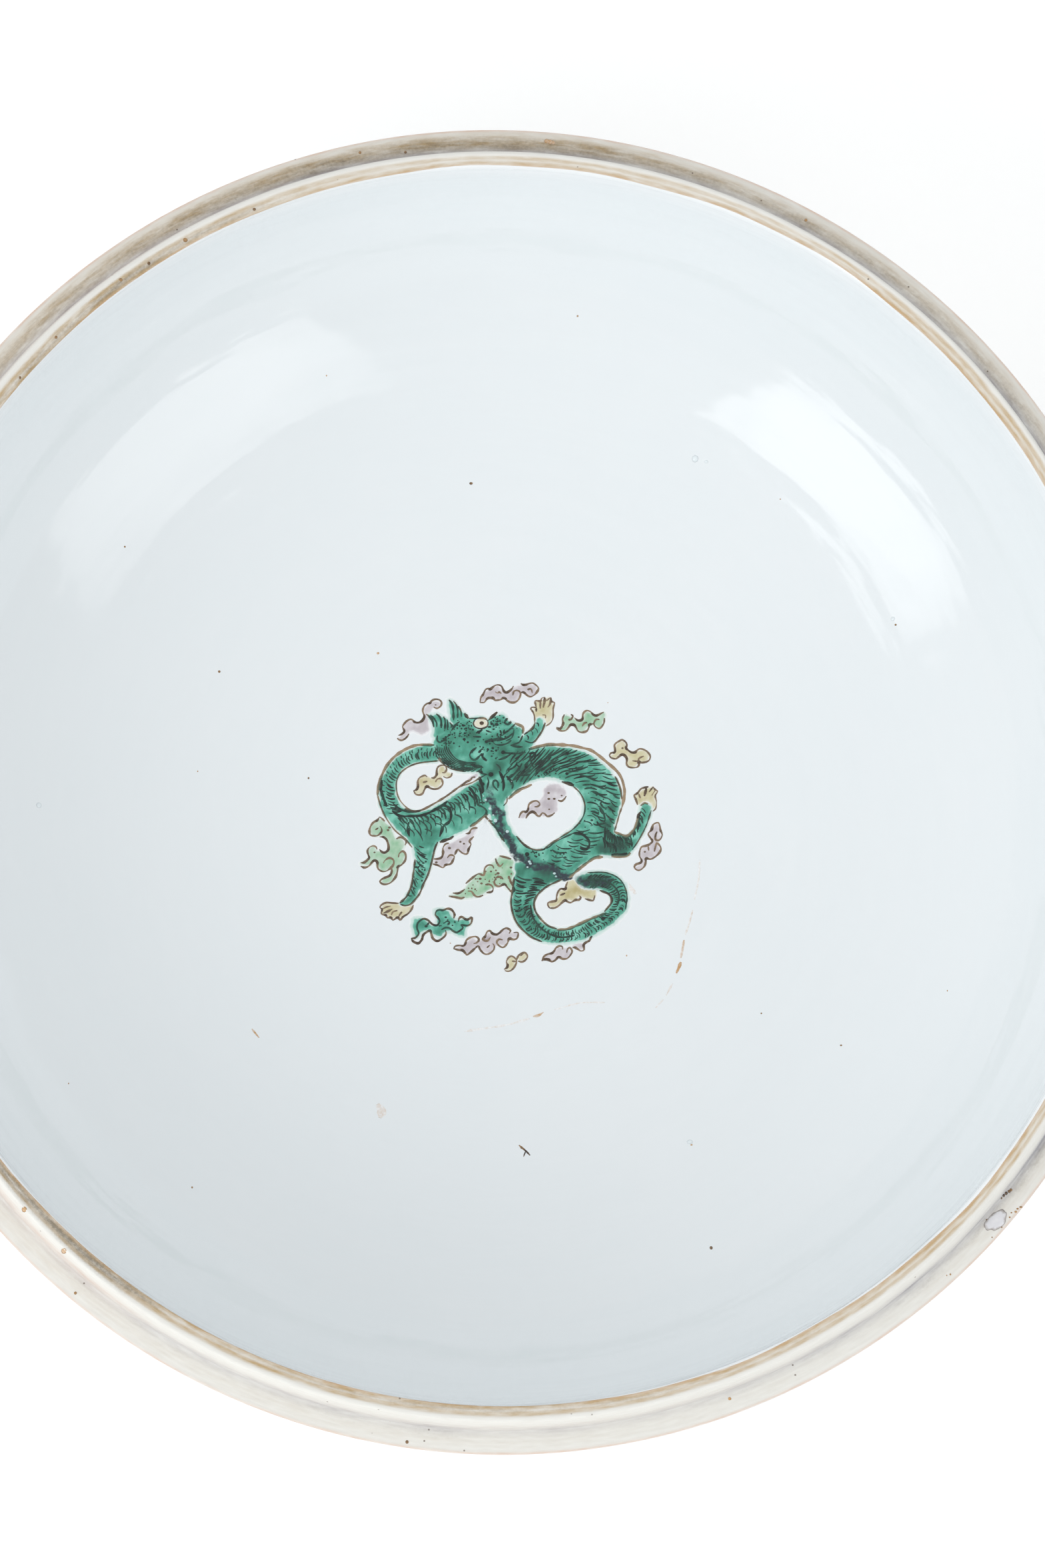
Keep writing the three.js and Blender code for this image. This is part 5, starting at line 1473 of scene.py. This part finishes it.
class PORCELAIN_OT_stage(bpy.types.Operator):
    """Lays out the white table, the room's light, two softboxes and the camera"""

    bl_idname = "porcelain.stage"
    bl_label = "Table, lights and camera"

    def execute(self, context):
        scene, stage = context.scene, context.scene.porcelain_stage
        scene.view_settings.view_transform = "Standard"
        corners = np.array([[-1, -1, 0], [1, -1, 0], [1, 1, 0], [-1, 1, 0]]) * stage.table_half
        mesh = bpy.data.meshes.new("table_top")
        mesh.from_pydata(corners.tolist(), [], [(0, 1, 2, 3)])
        mesh.materials.append(white_table())
        table = bpy.data.objects.new("table_top", mesh)
        scene.collection.objects.link(table)
        world = bpy.data.worlds.new("pale_room")
        scene.world = world
        world.use_nodes = True
        background = world.node_tree.nodes["Background"]
        background.inputs["Color"].default_value = linear("#FBFCFD")
        add = functools.partial(add_node, world.node_tree)
        toward = add("TexCoord", out="Generated")
        lean = Vector((-0.25, 0.23, 0.245)) * stage.world_light  # brighter at the back left and above
        glow = add("VectorMath", {0: toward, 1: lean}, out="Value", operation="DOT_PRODUCT")
        glow = add("Math", {0: glow, 1: stage.world_light}, operation="ADD")
        world.node_tree.links.new(glow, background.inputs["Strength"])
        softbox("key_softbox", -147, 28, 1.2, 0.8, 1.05, stage.key_light, (0.6, 0.5))
        softbox("fill_softbox", -44, 29, 1.6, 1.25, 1.35, stage.fill_light, (0.5, 0.4))
        lens = bpy.data.cameras.new("camera")
        lens.lens, lens.sensor_width = stage.focal_length, 36
        camera = bpy.data.objects.new("camera", lens)
        camera.location = mouth() + Vector(stage.camera_place)
        forward = (mouth() + Vector(stage.camera_aim) - camera.location).normalized()
        upright = Vector((math.tan(math.radians(stage.picture_lean)), 1, 0))
        right = forward.cross(upright).normalized()
        camera.rotation_euler = Matrix((right, right.cross(forward), -forward)).transposed().to_euler()
        scene.collection.objects.link(camera)
        scene.camera = camera
        return {"FINISHED"}


class PORCELAIN_PT_box(bpy.types.Panel):
    """Lists the builders and their sizes and colours"""

    bl_label = "Porcelain box"
    bl_idname = "PORCELAIN_PT_box"
    bl_space_type = "VIEW_3D"
    bl_region_type = "UI"
    bl_category = "Porcelain"

    def draw(self, context):
        for operator in OPERATORS:
            self.layout.operator(operator.bl_idname)
        for name, group in GROUPS.items():
            box = self.layout.box()
            for field in group.__annotations__:
                box.prop(getattr(context.scene, name), field)


OPERATORS = (
    PORCELAIN_OT_stage, PORCELAIN_OT_base, PORCELAIN_OT_cover, PORCELAIN_OT_enamels, PORCELAIN_OT_lines,
    PORCELAIN_OT_marks)
GROUPS = {
    "porcelain_form": PORCELAIN_PG_form,
    "porcelain_finish": PORCELAIN_PG_finish,
    "porcelain_stage": PORCELAIN_PG_stage,
}


def register():
    """Registers the property groups, operators and panel."""
    for name, group in GROUPS.items():
        bpy.utils.register_class(group)
        setattr(bpy.types.Scene, name, PointerProperty(type=group))
    for kind in (*OPERATORS, PORCELAIN_PT_box):
        bpy.utils.register_class(kind)


def unregister():
    """Takes them away again."""
    for kind in (PORCELAIN_PT_box, *reversed(OPERATORS)):
        bpy.utils.unregister_class(kind)
    for name, group in reversed(GROUPS.items()):
        delattr(bpy.types.Scene, name)
        bpy.utils.unregister_class(group)


def main():
    """Builds everything in order."""
    register()
    bpy.ops.porcelain.stage()
    bpy.ops.porcelain.base()
    bpy.ops.porcelain.cover()
    bpy.ops.porcelain.enamels()
    bpy.ops.porcelain.lines()
    bpy.ops.porcelain.marks()


if __name__ == "__main__":
    main()
